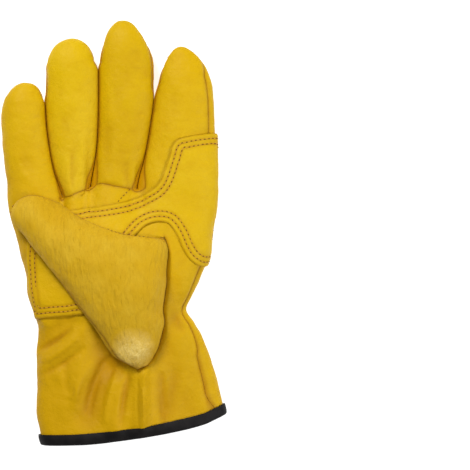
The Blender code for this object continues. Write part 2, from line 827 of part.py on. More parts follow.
def make_thumb_skin(rows, runs, below):
    """The thumb's outer skin: a flattened tube, open at the hole that it is sewn into. It lies on
    the surfaces below."""
    skin = Skin(["thumb_front", "thumb_back"])
    rings = thumb_rings(rows, runs)
    steps = len(rings[0]) // 2
    order = ["thumb_back"] * steps + ["thumb_front"] * steps
    closed = [ring + ring[:1] for ring in reversed(rings)]
    skin.grid(closed[:2], ["thumb_front"] * len(order))
    skin.grid(closed[1:], order)
    skin.close()

    def shortfall(point):
        start = point + Vector((0, 0, THUMB_SHELF))
        hit = below.ray_cast(start, Vector((0, 0, -1)), 2 * THUMB_SHELF)[0]
        short = hit.z + THUMB_REST - point.z if hit else 0.0
        return Vector((0, 0, max(short, 0.0)))

    stem = {tuple(round(c, 6) for c in point) for ring in rings[:2] for point in ring}
    loose = [v for v in skin.mesh.verts if tuple(round(c, 6) for c in v.co) not in stem]
    free = set(loose)
    tested = [f for f in skin.faces_of("thumb_back") if all(vert in free for vert in f.verts)]
    settle(skin, shortfall, tested, loose, THUMB_SHELF)
    return skin


def edge_measure(x, y):
    """How far a point lies in from the hand's right edge, as a root that passes smoothly below 0
    round the edge and under the hand."""
    right = side_edge(y)
    return math.copysign(math.sqrt(abs(right - x)), right - x)


def side_edge(y):
    """The x of the glove's edge on the index finger's side, at the hand or at the finger."""
    middle, half, _ = finger_span(FINGERS["index"], max(y, ROOT_Y))
    return blend(hand_edges(y)[1], middle + half, ease(1 + (y - ROOT_Y) / KNUCKLE_BLEND))


def make_patch_skin(below):
    """The palm patch's underside, laid on the skin below as a strip from its outer to its inner edge."""
    table = [(i / (len(PATCH_SECTIONS) - 1), *row) for i, row in enumerate(PATCH_SECTIONS)]

    def border(share, column):
        x = read(table, share, column) * PALM_WIDTH
        y = read(table, share, column + 1) * HAND_LENGTH - REST_POINT
        return edge_measure(x, y), y

    rows = []
    for j in range(PATCH_ROWS + 1):
        row = []
        for i in range(PATCH_COLUMNS + 1):
            share = (i / PATCH_COLUMNS) ** PATCH_CROWDING
            (outer, outer_y), (inner, inner_y) = border(share, 1), border(share, 3)
            measure = blend(outer, inner, j / PATCH_ROWS)
            y = blend(outer_y, inner_y, j / PATCH_ROWS)
            x = side_edge(y) - measure**2
            row.append(Vector((x, y, skin_height(x, y, measure >= 0))))
        rows.append(row)
    skin = Skin(["palm_patch"])
    skin.grid(rows, ["palm_patch"] * PATCH_COLUMNS)
    skin.close()
    for vert in skin.mesh.verts:
        vert.co += vert.normal * LAY_GAP

    def shortfall(point):
        near, normal, _, _ = below.find_nearest(point)
        return normal * max(LAY_GAP - (point - near).dot(normal), 0.0)

    settle(skin, shortfall, skin.mesh.faces[:], skin.mesh.verts[:], EDGE_RADIUS / 2)
    return skin


def make_binding(skin, runs):
    """The black edging: a strip folded round the cuff's cut edge, as one closed ring."""
    near = [point for run in (runs[0][0], runs[0][1][1:-1]) for point in run]
    far = [point for run in (runs[1][0], runs[1][1][1:-1]) for point in run]
    normals = {tuple(round(c, 5) for c in vert.co): vert.normal for vert in skin.mesh.verts}
    outer, inner = BINDING_GAP, -LEATHER - BINDING_GAP
    leg = BINDING_WIDTH - BINDING_LEATHER
    profile = [
        # along the leather from its cut edge, then out from its surface
        (leg, outer + BINDING_LEATHER),
        (0.0, outer + BINDING_LEATHER),
        (-BINDING_GAP - BINDING_LEATHER, (outer + inner) / 2 + LEATHER * 0.5),
        (-BINDING_GAP - BINDING_LEATHER, (outer + inner) / 2 - LEATHER * 0.5),
        (0.0, inner - BINDING_LEATHER),
        (leg, inner - BINDING_LEATHER),
        (leg, inner),
        (-BINDING_GAP, inner),
        (-BINDING_GAP, outer),
        (leg, outer),
    ]
    mesh = bmesh.new()
    rings = []
    for start, end in zip(near, far):
        along = (end - start).normalized()
        normal = normals[tuple(round(c, 5) for c in start)]
        places = [start + along * reach + normal * out for reach, out in profile]
        rings.append([mesh.verts.new((p.x, p.y, max(p.z, 0.0))) for p in places])
    for ring, after in zip(rings, rings[1:] + rings[:1]):
        for k in range(len(profile)):
            following = (k + 1) % len(profile)
            mesh.faces.new((ring[k], ring[following], after[following], after[k]))
    mesh.normal_update()
    return mesh


def build():
    for old in list(bpy.data.objects):
        bpy.data.objects.remove(old)
    collection = bpy.data.collections.new("leather_work_glove")
    bpy.context.scene.collection.children.link(collection)

    grain = leather_material("grain_leather", (0.78, 0.50, 0.025), 0.5)
    thumb_leather = leather_material("thumb_leather", (0.66, 0.42, 0.03), 0.65)
    patch_leather = leather_material("patch_leather", (0.76, 0.49, 0.03), 0.5)
    edging = leather_material("edging", (0.012, 0.011, 0.012), 0.45)

    hand, rows, runs = make_hand_skin()
    for name in HAND_PANELS:
        place_piece(name, leather_mesh(hand.faces_of(name), LEATHER, SEAM_GAP / 2), grain, collection)
    place_piece("cuff_binding", make_binding(hand, runs), edging, collection)

    patch = make_patch_skin(surface_tree([hand.mesh]))
    mesh = leather_mesh(patch.faces_of("palm_patch"), PATCH_LEATHER, 0.0, PATCH_LEATHER)
    mesh.normal_update()
    thumb = make_thumb_skin(rows, runs, surface_tree([hand.mesh, mesh]))
    place_piece("palm_patch", mesh, patch_leather, collection)
    for name in thumb.panels:
        mesh = leather_mesh(thumb.faces_of(name), LEATHER, SEAM_GAP / 2)
        place_piece(name, mesh, thumb_leather, collection)
    for skin in (hand, thumb, patch):
        skin.mesh.free()


build()
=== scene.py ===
"""Looks of the right-hand leather work glove: the same sewn skin as the solids, made fine.

The glove lies on its back with the palm up and the thumb folded over it. Its surface is worked out
as rings of points round the cuff, the hand and each finger, is then pressed into folds, gathers and
seams, and is cut along the seams into panels with the leather's thickness. Lengths are in metres.
"""

import math

import bmesh
import bpy
import numpy as np
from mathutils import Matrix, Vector, noise
from mathutils.bvhtree import BVHTree
from mathutils.kdtree import KDTree


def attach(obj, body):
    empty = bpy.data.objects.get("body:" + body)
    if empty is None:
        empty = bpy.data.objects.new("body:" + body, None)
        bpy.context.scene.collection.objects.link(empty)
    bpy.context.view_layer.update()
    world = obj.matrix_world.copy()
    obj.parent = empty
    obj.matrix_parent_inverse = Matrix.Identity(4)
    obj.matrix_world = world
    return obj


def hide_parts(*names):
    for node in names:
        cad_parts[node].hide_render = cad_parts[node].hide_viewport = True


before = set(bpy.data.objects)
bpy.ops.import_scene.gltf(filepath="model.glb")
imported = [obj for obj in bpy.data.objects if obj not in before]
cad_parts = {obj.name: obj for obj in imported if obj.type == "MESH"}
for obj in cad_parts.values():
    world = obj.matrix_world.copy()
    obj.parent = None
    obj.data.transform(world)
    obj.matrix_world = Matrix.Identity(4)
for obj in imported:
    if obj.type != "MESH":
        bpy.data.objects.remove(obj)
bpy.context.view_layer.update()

# Lengths and widths of the glove
PALM_WIDTH = 0.125
HAND_LENGTH = 0.149
LITTLE_LENGTH = 0.0615
RING_LENGTH = 0.0866
MIDDLE_LENGTH = 0.0977
INDEX_LENGTH = 0.0832
THUMB_LENGTH = 0.0965
REST_POINT = 0.078

# Depths: the side edges stand above the floor, and the leather swells above them
EDGE_HEIGHT = 0.0084
EDGE_RADIUS = 0.0085
HAND_SHOULDER = 0.0065
HAND_CROWN = 0.0078
FINGER_RISE = 0.0085
FINGERTIP_LIFT = 0.0035
THUMB_EDGE = 0.0038
THUMB_CROWN = 0.0054

# Leather and the way that it is sewn. BINDING_ROW is the first row of points past the binding
LEATHER = 0.0012
PATCH_LEATHER = 0.0011
BINDING_LEATHER = 0.0010
BINDING_THINNING = 0.0002
BINDING_CROWN = 0.00025
BINDING_STEPS = 6
BINDING_WIDTH = 0.0061
BINDING_ROW = BINDING_WIDTH + 0.0024
SEAM_GAP = 0.00016
LAY_GAP = 0.0006
BINDING_GAP = 0.0005
THUMB_GAP = 0.00015
SIDE_SEAM_INSET = 0.0044
CUFF_SEAM_SHARE = 0.4
WEB_DIP = 0.0018
KNUCKLE_BLEND = 0.030
BINDING_BLEND = 0.015
THUMB_SHELF = 0.013
THUMB_REST = 0.0009
MERGE_DISTANCE = 0.00002

# Fineness of the skin's rows along the hand and fingers
ROW_STEP = 0.0012
FINGER_STEP = 0.012
THUMB_STEP = 0.013

# How far the seams of a finger's sides lie round its section, in degrees from its side edges
FORK_SEAM = 30
FRONT_SEAM = 13
OUTER_SEAM = 35
ROOT_REACH = 0.24
FLAT_SHARE = 0.6

# The hand from the cuff to the finger roots: place along HAND_LENGTH, its two side edges as shares of
# PALM_WIDTH from the glove's axis, and shares of EDGE_HEIGHT, HAND_SHOULDER and HAND_CROWN
HAND_SECTIONS = [
    # along, left, right, edge, shoulder, crown
    (0.000, -0.329, 0.542, 0.95, 0.80, 0.55),
    (0.097, -0.350, 0.528, 0.95, 0.80, 0.60),
    (0.214, -0.356, 0.500, 0.90, 0.80, 0.66),
    (0.331, -0.360, 0.458, 0.88, 0.85, 0.72),
    (0.409, -0.352, 0.426, 0.90, 0.90, 0.78),
    (0.467, -0.352, 0.388, 0.95, 0.92, 0.84),
    (0.522, -0.372, 0.345, 1.00, 0.95, 0.92),
    (0.576, -0.394, 0.364, 1.02, 1.00, 0.98),
    (0.642, -0.404, 0.398, 1.04, 1.00, 1.00),
    (0.720, -0.427, 0.437, 1.04, 1.00, 1.00),
    (0.837, -0.463, 0.460, 1.02, 1.00, 0.90),
    (0.934, -0.487, 0.473, 1.00, 1.00, 0.75),
    (1.000, -0.498, 0.477, 1.00, 1.00, 0.65),
    (1.100, -0.503, 0.480, 1.00, 1.00, 0.60),
]

# The cut edge of the cuff, and the line of the finger roots: place across the hand, then along it
CUFF_EDGE = [
    # across, along
    (0.00, 0.004),
    (0.22, 0.009),
    (0.35, 0.018),
    (0.60, 0.044),
    (0.80, 0.073),
    (0.90, 0.093),
    (1.00, 0.124),
]
ROOT_LINE = [
    # across, as a share of PALM_WIDTH from the axis, then along
    (-0.500, 0.985),
    (-0.350, 0.975),
    (-0.230, 0.966),
    (-0.109, 1.004),
    (-0.065, 1.018),
    (0.020, 1.006),
    (0.107, 0.996),
    (0.200, 1.008),
    (0.480, 1.012),
]

# Each finger from the root line to its tip: place along its length, and its sides as shares of
# PALM_WIDTH. The tip is a rounded cap: its centre, its share of the length and its bluntness. At
# the root its front seams lie further round, by the angles of root_seams (left, right)
FINGERS = {
    "little": {
        "length": LITTLE_LENGTH,
        "tip": -0.392,
        "cap": 0.33,
        "blunt": 2.4,
        "root_seams": (35, 26),
        "sides": [
            # along, left, right
            (-0.12, -0.493, -0.236),
            (0.00, -0.498, -0.250),
            (0.15, -0.505, -0.276),
            (0.35, -0.514, -0.298),
            (0.65, -0.518, -0.317),
            (1.00, -0.514, -0.317),
        ],
    },
    "ring": {
        "length": RING_LENGTH,
        "tip": -0.187,
        "cap": 0.235,
        "blunt": 2.5,
        "root_seams": (26, 49),
        "sides": [
            (-0.07, -0.226, -0.109),
            (0.00, -0.246, -0.110),
            (0.09, -0.268, -0.100),
            (0.19, -0.284, -0.087),
            (0.29, -0.295, -0.078),
            (0.45, -0.307, -0.072),
            (0.65, -0.312, -0.071),
            (0.80, -0.309, -0.073),
            (1.00, -0.301, -0.088),
        ],
    },
    "middle": {
        "length": MIDDLE_LENGTH,
        "tip": 0.046,
        "cap": 0.30,
        "blunt": 2.1,
        "root_seams": (39, 39),
        "sides": [
            (-0.04, -0.106, 0.106),
            (0.00, -0.105, 0.108),
            (0.08, -0.095, 0.121),
            (0.17, -0.082, 0.141),
            (0.27, -0.073, 0.157),
            (0.37, -0.068, 0.170),
            (0.52, -0.065, 0.186),
            (0.66, -0.063, 0.192),
            (0.80, -0.060, 0.190),
            (1.00, -0.051, 0.164),
        ],
    },
    "index": {
        "length": INDEX_LENGTH,
        "tip": 0.319,
        "cap": 0.42,
        "blunt": 2.0,
        "root_seams": (36, 35),
        "sides": [
            (-0.04, 0.112, 0.476),
            (0.00, 0.113, 0.477),
            (0.09, 0.125, 0.479),
            (0.20, 0.146, 0.481),
            (0.32, 0.163, 0.481),
            (0.45, 0.178, 0.479),
            (0.60, 0.194, 0.475),
            (0.75, 0.205, 0.472),
            (1.00, 0.214, 0.463),
        ],
    },
}
FINGER_STATIONS = (
    *(0, 0.006, 0.013, 0.022, 0.034, 0.05, 0.07, 0.16, 0.28, 0.41, 0.54, 0.66, 0.77, 0.86, 0.93),
    *(0.955, 0.976, 0.988, 0.994, 0.9975, 0.9992, 1),
)
SEAM_TAPER = (0.76, 0.93)
FORK_END = 0.86

# The hole that the thumb is sewn into, from the cuff upwards: how far up the column of points that
# it opens, and its two edges across the hand. Where they are equal the leather is closed
THUMB_HOLE = [
    # up, left, right
    (0.000, 0.536, 0.536),
    (0.130, 0.558, 0.558),
    (0.272, 0.578, 0.578),
    (0.289, 0.545, 0.634),
    (0.343, 0.512, 0.702),
    (0.421, 0.512, 0.770),
    (0.502, 0.560, 0.850),
    (0.603, 0.574, 0.838),
    (0.696, 0.604, 0.798),
    (0.765, 0.675, 0.790),
    (0.814, 0.768, 0.768),
    (0.907, 0.690, 0.690),
]
CUFF_ROWS = (0.12, 0.17, 0.215)
HOLE_ROWS = (0.272, 0.289, 0.343, 0.40, 0.46, 0.52, 0.58, 0.64, 0.70, 0.765, 0.814)
UPPER_ROWS = (0.855, 0.895, 0.93, 0.955, 0.972, 0.982, 0.989, 0.995, 1.0)

# The thumb from the hole to its tip: its middle as shares of THUMB_LENGTH to the left and up, its
# half width as a share of the hole's half length, and the lean of its section from the glove's axis
THUMB_SECTIONS = [
    # along, left, up, half, lean
    (0.00, 0.000, 0.000, 1.000, -11.6),
    (0.12, 0.102, 0.036, 0.937, -14.0),
    (0.25, 0.207, 0.110, 0.778, -14.5),
    (0.40, 0.333, 0.204, 0.641, -15.0),
    (0.55, 0.460, 0.309, 0.519, -17.0),
    (0.70, 0.577, 0.419, 0.438, -19.0),
    (0.82, 0.670, 0.497, 0.363, -19.5),
    (0.91, 0.742, 0.542, 0.292, -19.0),
    (0.945, 0.775, 0.553, 0.248, -18.5),
    (0.97, 0.798, 0.559, 0.200, -18.0),
    (0.985, 0.813, 0.561, 0.150, -18.0),
    (0.995, 0.824, 0.562, 0.090, -18.0),
    (1.00, 0.829, 0.562, 0.000, -18.0),
]
THUMB_STATIONS = (
    *(0, 0.012, 0.035, 0.07, 0.12, 0.19, 0.28, 0.38, 0.49, 0.6, 0.7, 0.79, 0.87, 0.93),
    *(0.97, 0.985, 0.993, 0.998, 1),
)
THUMB_FOLD = 0.13
THUMB_EVEN = 0.25
THUMB_CAP = 0.22
THUMB_CROWDING = 0.45
THUMB_RIM_REACH = 0.003
THUMB_CREASE_SIZES = (0.0052, 0.026, 0.02)
THUMB_CREASE_HEIGHT = 0.0003

# The palm patch, as lines across its strip from its outer edge to its inner edge by the thumb's
# hole. X is a share of PALM_WIDTH from the axis and y of HAND_LENGTH; past the side edge it wraps
PATCH_SECTIONS = [
    # outer x, outer y, inner x, inner y
    (0.500, 1.212, 0.462, 0.716),
    (0.478, 1.214, 0.437, 0.702),
    (0.440, 1.212, 0.405, 0.698),
    (0.345, 1.198, 0.362, 0.722),
    (0.290, 1.175, 0.330, 0.762),
    (0.262, 1.105, 0.300, 0.820),
    (0.222, 1.020, 0.262, 0.862),
    (0.155, 0.975, 0.205, 0.868),
    (0.060, 0.945, 0.150, 0.850),
    (-0.060, 0.925, 0.100, 0.805),
    (-0.190, 0.912, 0.060, 0.755),
    (-0.300, 0.890, 0.035, 0.705),
    (-0.372, 0.845, 0.020, 0.660),
    (-0.392, 0.800, 0.010, 0.625),
    (-0.396, 0.720, 0.000, 0.595),
    (-0.382, 0.623, -0.012, 0.565),
    (-0.364, 0.545, -0.024, 0.545),
    (-0.350, 0.494, -0.034, 0.522),
]
PATCH_COLUMNS = 190
PATCH_CROWDING = 1.15
PATCH_ROWS = 56

# Folds pressed into the upper leather, each along a line between two points: x as a share of
# PALM_WIDTH, y of HAND_LENGTH, then the fold's half width and height as shares of EDGE_RADIUS
FOLDS = [
    # x from, y from, x to, y to, width, height
    (-0.060, 0.430, -0.005, 0.300, 0.75, -0.34),
    (-0.005, 0.300, -0.120, 0.110, 0.95, -0.30),
    (0.130, 0.300, 0.135, 0.060, 0.55, 0.26),
    (0.030, 0.240, 0.020, 0.060, 0.60, 0.16),
    (0.215, 0.420, 0.330, 0.130, 0.90, -0.16),
    (-0.330, 0.405, -0.200, 0.480, 0.60, -0.22),
    (-0.300, 0.330, -0.130, 0.440, 0.80, 0.16),
    (-0.230, 0.260, -0.180, 0.080, 1.10, 0.10),
    (0.330, 0.560, 0.260, 0.480, 0.70, -0.20),
]

# Fine creases, in the same columns with a bend to one side before the width and the height
WRINKLES = [
    # x from, y from, x to, y to, bend, width, height
    (-0.166, 1.200, -0.186, 0.985, 0.008, 0.15, -0.13),
    (-0.140, 1.240, -0.148, 1.010, 0.000, 0.17, 0.12),
    (-0.112, 1.180, -0.118, 0.990, 0.004, 0.13, -0.06),
    (-0.025, 1.270, -0.030, 1.070, 0.004, 0.30, -0.08),
    (0.062, 1.110, 0.078, 0.985, 0.008, 0.14, -0.10),
    (0.094, 1.100, 0.096, 1.000, 0.004, 0.13, 0.08),
    (-0.215, 1.300, -0.205, 1.180, 0.010, 0.40, -0.05),
    (0.030, 1.420, 0.045, 1.250, 0.010, 0.45, -0.05),
    (0.300, 1.400, 0.290, 1.270, 0.010, 0.40, -0.05),
    (-0.420, 1.170, -0.360, 1.060, 0.012, 0.35, -0.07),
    (-0.440, 1.090, -0.330, 0.990, 0.010, 0.35, 0.06),
    (0.079, 0.993, 0.028, 0.946, 0.000, 0.10, -0.09),
    (0.300, 0.520, 0.330, 0.440, 0.010, 0.30, -0.12),
    (0.270, 0.560, 0.250, 0.420, 0.010, 0.28, 0.09),
    (0.245, 0.740, 0.262, 0.640, 0.012, 0.22, -0.08),
    (-0.348, 0.370, -0.180, 0.460, 0.010, 0.20, -0.24),
    (-0.335, 0.320, -0.150, 0.425, 0.010, 0.24, 0.16),
    (-0.345, 0.270, -0.120, 0.385, 0.014, 0.20, -0.14),
    (-0.215, 0.330, -0.200, 0.190, 0.004, 0.30, -0.12),
    (-0.130, 0.340, -0.165, 0.160, 0.006, 0.30, 0.14),
    (-0.355, 0.520, -0.280, 0.460, 0.010, 0.30, 0.08),
    (-0.310, 0.360, -0.230, 0.200, 0.015, 0.40, -0.07),
    (-0.120, 0.370, -0.200, 0.180, 0.015, 0.35, 0.08),
    (-0.010, 0.350, -0.115, 0.110, 0.020, 0.30, -0.30),
    (-0.085, 0.330, -0.180, 0.130, 0.014, 0.26, 0.14),
    (0.030, 0.310, -0.035, 0.080, 0.010, 0.24, 0.17),
    (0.085, 0.290, 0.042, 0.060, 0.008, 0.22, -0.20),
    (0.122, 0.300, 0.126, 0.060, 0.003, 0.08, -0.06),
    (0.158, 0.330, 0.150, 0.050, 0.004, 0.27, 0.40),
    (0.234, 0.290, 0.242, 0.060, 0.004, 0.24, -0.22),
    (0.300, 0.300, 0.262, 0.070, 0.010, 0.45, -0.13),
    (0.225, 0.300, 0.205, 0.120, 0.006, 0.25, -0.06),
]

# Unevenness of the leather all over: the size of its soft lumps and their height
HAND_LUMPS = [
    # size, height
    (0.024, 0.0011),
    (0.010, 0.00045),
    (0.0045, 0.00014),
]
THUMB_LUMPS = [
    # size, height
    (0.020, 0.0008),
    (0.008, 0.0004),
    (0.0035, 0.00016),
]

# Seams: how deep the leather rolls into them, how wide the roll is, how wide the thin line of painted
# shade along them is, and its puckers
SEAM_DEPTH = 0.0008
SEAM_ROLL = 0.0013
SEAM_LINE = 0.0005
PUCKER_SIZE = 0.0035
PUCKER_HEIGHT = 0.00035
PUCKER_REACH = 0.0045

# How deep a hollow in the leather is when it takes its full painted shade
HOLLOW_SHADE_DEPTH = 0.0015

# Between fingers: how wide a gap their sides still close, and what is left of it
CREVICE_REACH = 0.0024
CREVICE_GAP = 0.00002
CREVICE_SLANT = 0.25

# The wrist's gathers on the back: place along the hand, reach, distance apart and depth
GATHER_PLACE = 0.43
GATHER_REACH = 0.011
GATHER_PITCH = 0.0062
GATHER_DEPTH = 0.0012

# Stitching of the palm patch: two rows inside its edge, with the grooves that they pull
STITCH_ROWS = (0.0029, 0.0060)
STITCH_PITCH = 0.0027
GROOVE_DEPTH = 0.00035
GROOVE_WIDTH = 0.0010

# Edges of a piece that turn by more degrees than this stay sharp
SHARP_ANGLE = 50


def ease(share):
    """A smooth step from 0 to 1."""
    share = min(max(share, 0.0), 1.0)
    return share * share * (3 - 2 * share)


def blend(start, end, share):
    return start + (end - start) * share


def crowd(share, strength):
    """A share from 0 to 1 moved towards its nearer end."""
    return blend(share, (1 - math.cos(math.pi * share)) / 2, strength)


def finer(places, step):
    """Places with others put evenly between them, about a step apart."""
    result = []
    for low, high in zip(places, places[1:]):
        count = max(1, round((high - low) / step))
        result += [blend(low, high, k / count) for k in range(count)]
    return result + [places[-1]]


def read(table, at, column):
    """A table's column at a place between its rows, along a smooth curve through them."""
    places = [row[0] for row in table]
    values = [row[column] for row in table]
    at = min(max(at, places[0]), places[-1])
    after = next((i for i in range(1, len(places) - 1) if at <= places[i]), len(places) - 1)
    before = after - 1
    span = places[after] - places[before]

    def slope(i):
        low, high = max(i - 1, 0), min(i + 1, len(places) - 1)
        return (values[high] - values[low]) / (places[high] - places[low])

    u = (at - places[before]) / span
    return (
        values[before] * (1 + 2 * u) * (1 - u) ** 2
        + slope(before) * span * u * (1 - u) ** 2
        + values[after] * u * u * (3 - 2 * u)
        + slope(after) * span * u * u * (u - 1)
    )


def rounding(depth):
    """The rise of a quarter round, from 0 at its edge to 1 where it has turned level."""
    depth = min(max(depth, 0.0), 1.0)
    return math.sqrt(1 - (1 - depth) ** 2)


def hand_edges(y):
    """The x of the hand's two side edges at a place along it."""
    along = (y + REST_POINT) / HAND_LENGTH
    return tuple(read(HAND_SECTIONS, along, column) * PALM_WIDTH for column in (1, 2))


def cuff_line(across):
    return read(CUFF_EDGE, across, 1) * HAND_LENGTH - REST_POINT


def root_line(x):
    return read(ROOT_LINE, x / PALM_WIDTH, 1) * HAND_LENGTH - REST_POINT


ROOT_Y = HAND_LENGTH - REST_POINT


def finger_cap(finger, along):
    """The share of its full section that a finger has near its tip."""
    start = 1 - finger["cap"]
    if along <= start:
        return 1.0
    into = min((along - start) / finger["cap"], 1.0)
    return (1 - into ** finger["blunt"]) ** (1 / finger["blunt"])


def finger_span(finger, y):
    """A finger's middle and half width at a place along it, and the share left by its tip."""
    along = (y - ROOT_Y) / finger["length"]
    left, right = (read(finger["sides"], along, column) * PALM_WIDTH for column in (1, 2))
    cap = finger_cap(finger, along)
    middle = blend(finger["tip"] * PALM_WIDTH, (left + right) / 2, cap)
    return middle, (right - left) / 2 * cap, cap


def finger_level(finger, y):
    """The height of a finger's side edges, which lift a little towards the tip."""
    along = min(max((y - ROOT_Y) / finger["length"], 0.0), 1.0)
    return EDGE_HEIGHT + FINGERTIP_LIFT * along**2


def finger_height(finger, x, y, upper):
    """The height of a finger's skin over a point of the plan."""
    middle, half, cap = finger_span(finger, y)
    level = finger_level(finger, y)
    if half < 1e-9:
        return level
    depth = 1 - min(abs(x - middle) / half, 1.0)
    if upper:
        return level + FINGER_RISE * cap * rounding(depth)
    return level - EDGE_HEIGHT * cap * rounding(depth / FLAT_SHARE)


def root_height(x, upper):
    """The height of the skin at the finger roots, with a valley between each two fingers."""
    names = list(FINGERS)
    y = root_line(x)
    for i, name in enumerate(names):
        middle, half, _ = finger_span(FINGERS[name], y)
        if x <= middle + half or i == len(names) - 1:
            break
    outer_left = i == 0 and x < middle
    outer_right = i == len(names) - 1 and x > middle
    if not (outer_left or outer_right):
        seams = FINGERS[name]["root_seams"] if upper else (FORK_SEAM, FORK_SEAM)
        left, right = (half * math.cos(math.radians(angle)) for angle in seams)
        x = min(max(x, middle - left), middle + right)
    return finger_height(FINGERS[name], x, y, upper)


def binding_lift(y, across):
    """The cuff's underside stands off the floor by the binding that is folded round it."""
    past = (y - cuff_line(across) - BINDING_ROW) / BINDING_BLEND
    return (BINDING_LEATHER + BINDING_GAP) * (1 - ease(past))


def hand_height(x, y, upper):
    """The height of the hand's skin over a point of the plan, away from the fingers."""
    left, right = hand_edges(y)
    along = (y + REST_POINT) / HAND_LENGTH
    across = min(max((x - left) / (right - left), 0.0), 1.0)
    depth = min(across, 1 - across) * (right - left) / EDGE_RADIUS
    level = EDGE_HEIGHT * read(HAND_SECTIONS, along, 3)
    if not upper:
        return level - (level - binding_lift(y, across)) * rounding(depth)
    swell = 4 * across * (1 - across)
    shoulder = HAND_SHOULDER * read(HAND_SECTIONS, along, 4) * rounding(depth)
    crown = HAND_CROWN * read(HAND_SECTIONS, along, 5) * swell
    return level + shoulder + crown


def skin_height(x, y, upper=True):
    """The height of the glove's outer skin over a point of the plan."""
    root = root_line(x)
    if y >= root:
        inside = [f for f in FINGERS.values() if abs(x - finger_span(f, y)[0]) <= finger_span(f, y)[1]]
        return finger_height(inside[0], x, y, upper) if inside else root_height(x, upper)
    share = ease(1 - (root - y) / KNUCKLE_BLEND)
    hand = hand_height(x, y, upper) if share < 1 else 0.0
    return blend(hand, root_height(x, upper), share) if share > 0 else hand


FRONT_STEPS = 20
SIDE_STEPS = 10
WEB_STEPS = 6
EDGE_CROWDING = 0.45
SEAM_CROWDING = 0.6


def side_seams(name, station):
    """How far round from its left and right side edges a finger's seams lie, tapering to its tip."""
    taper = 1 - ease((station - SEAM_TAPER[0]) / (SEAM_TAPER[1] - SEAM_TAPER[0]))
    left = OUTER_SEAM if name == "little" else FORK_SEAM
    right = OUTER_SEAM if name == "index" else FORK_SEAM
    return math.radians(left) * taper, math.radians(right) * taper


def finger_ring(name, station):
    """The points round a finger, from the seam under its left side, over the top and back."""
    finger = FINGERS[name]
    left, right = side_seams(name, station)
    left_root, right_root = (math.radians(angle) for angle in finger["root_seams"])
    near_root = 1 - ease(station / ROOT_REACH)
    front = FRONT_SEAM / FORK_SEAM
    front_left = math.pi - blend(left if name == "little" else left * front, left_root, near_root)
    front_right = blend(right if name == "index" else right * front, right_root, near_root)
    turns = [math.pi + left, front_left, front_right, -right, left - math.pi]
    steps = [SIDE_STEPS, FRONT_STEPS, SIDE_STEPS, FRONT_STEPS]
    angles = []
    for start, end, count in zip(turns, turns[1:], steps):
        angles += [blend(start, end, crowd(k / count, SEAM_CROWDING)) for k in range(count)]
    points = []
    for angle in angles:
        middle, half, _ = finger_span(finger, ROOT_Y)
        root = root_line(middle + half * math.cos(angle))
        tip = ROOT_Y + finger["length"]
        y = blend(root, tip, station)
        middle, half, _ = finger_span(finger, y)
        x = middle + half * math.cos(angle)
        points.append(Vector((x, y, finger_height(finger, x, y, math.sin(angle) >= 0))))
    return points


def web_points(start, end):
    """The points of the web between two fingers, between their seams at one height."""
    shares = [k / WEB_STEPS for k in range(1, WEB_STEPS)]
    dips = [Vector((0, WEB_DIP * 4 * share * (1 - share), 0)) for share in shares]
    return [blend(start, end, share) - dip for share, dip in zip(shares, dips)]


# Where each part of a finger's ring starts, in the order that finger_ring lists its points
LEFT_SIDE = 0
FRONT = LEFT_SIDE + SIDE_STEPS
RIGHT_SIDE = FRONT + FRONT_STEPS
BACK = RIGHT_SIDE + SIDE_STEPS


def root_ring():
    """The ring of points at the finger roots, and the panel that each step of it belongs to."""
    rings = {name: finger_ring(name, 0) for name in FINGERS}
    names = list(FINGERS)
    points, panels = [], []

    def add(some, panel):
        points.extend(some)
        panels.extend([panel] * len(some))

    add(rings["little"][LEFT_SIDE:FRONT], "palm")
    for i, name in enumerate(names):
        ring = rings[name]
        add(ring[FRONT:RIGHT_SIDE], "palm")
        if i + 1 < len(names):
            neighbour = rings[names[i + 1]]
            add([ring[RIGHT_SIDE], *web_points(ring[RIGHT_SIDE], neighbour[FRONT])], "palm")
    add(rings["index"][RIGHT_SIDE:BACK], "back")
    for i, name in reversed(list(enumerate(names))):
        ring = rings[name]
        add(ring[BACK:], "back")
        if i > 0:
            neighbour = rings[names[i - 1]]
            add([ring[0], *web_points(ring[0], neighbour[BACK])], "back")
    return points, panels


def spread(count, inset):
    """Places across the hand for a ring's upper or lower half, closer together at its edges."""
    side = SIDE_STEPS // 2
    edge = [inset * (k / side) ** 2 for k in range(side)]
    middle = []
    for k in range(count - 2 * side + 1):
        share = k / (count - 2 * side)
        middle.append(blend(inset, 1 - inset, crowd(share, EDGE_CROWDING)))
    return edge + middle + [1 - place for place in reversed(edge)]


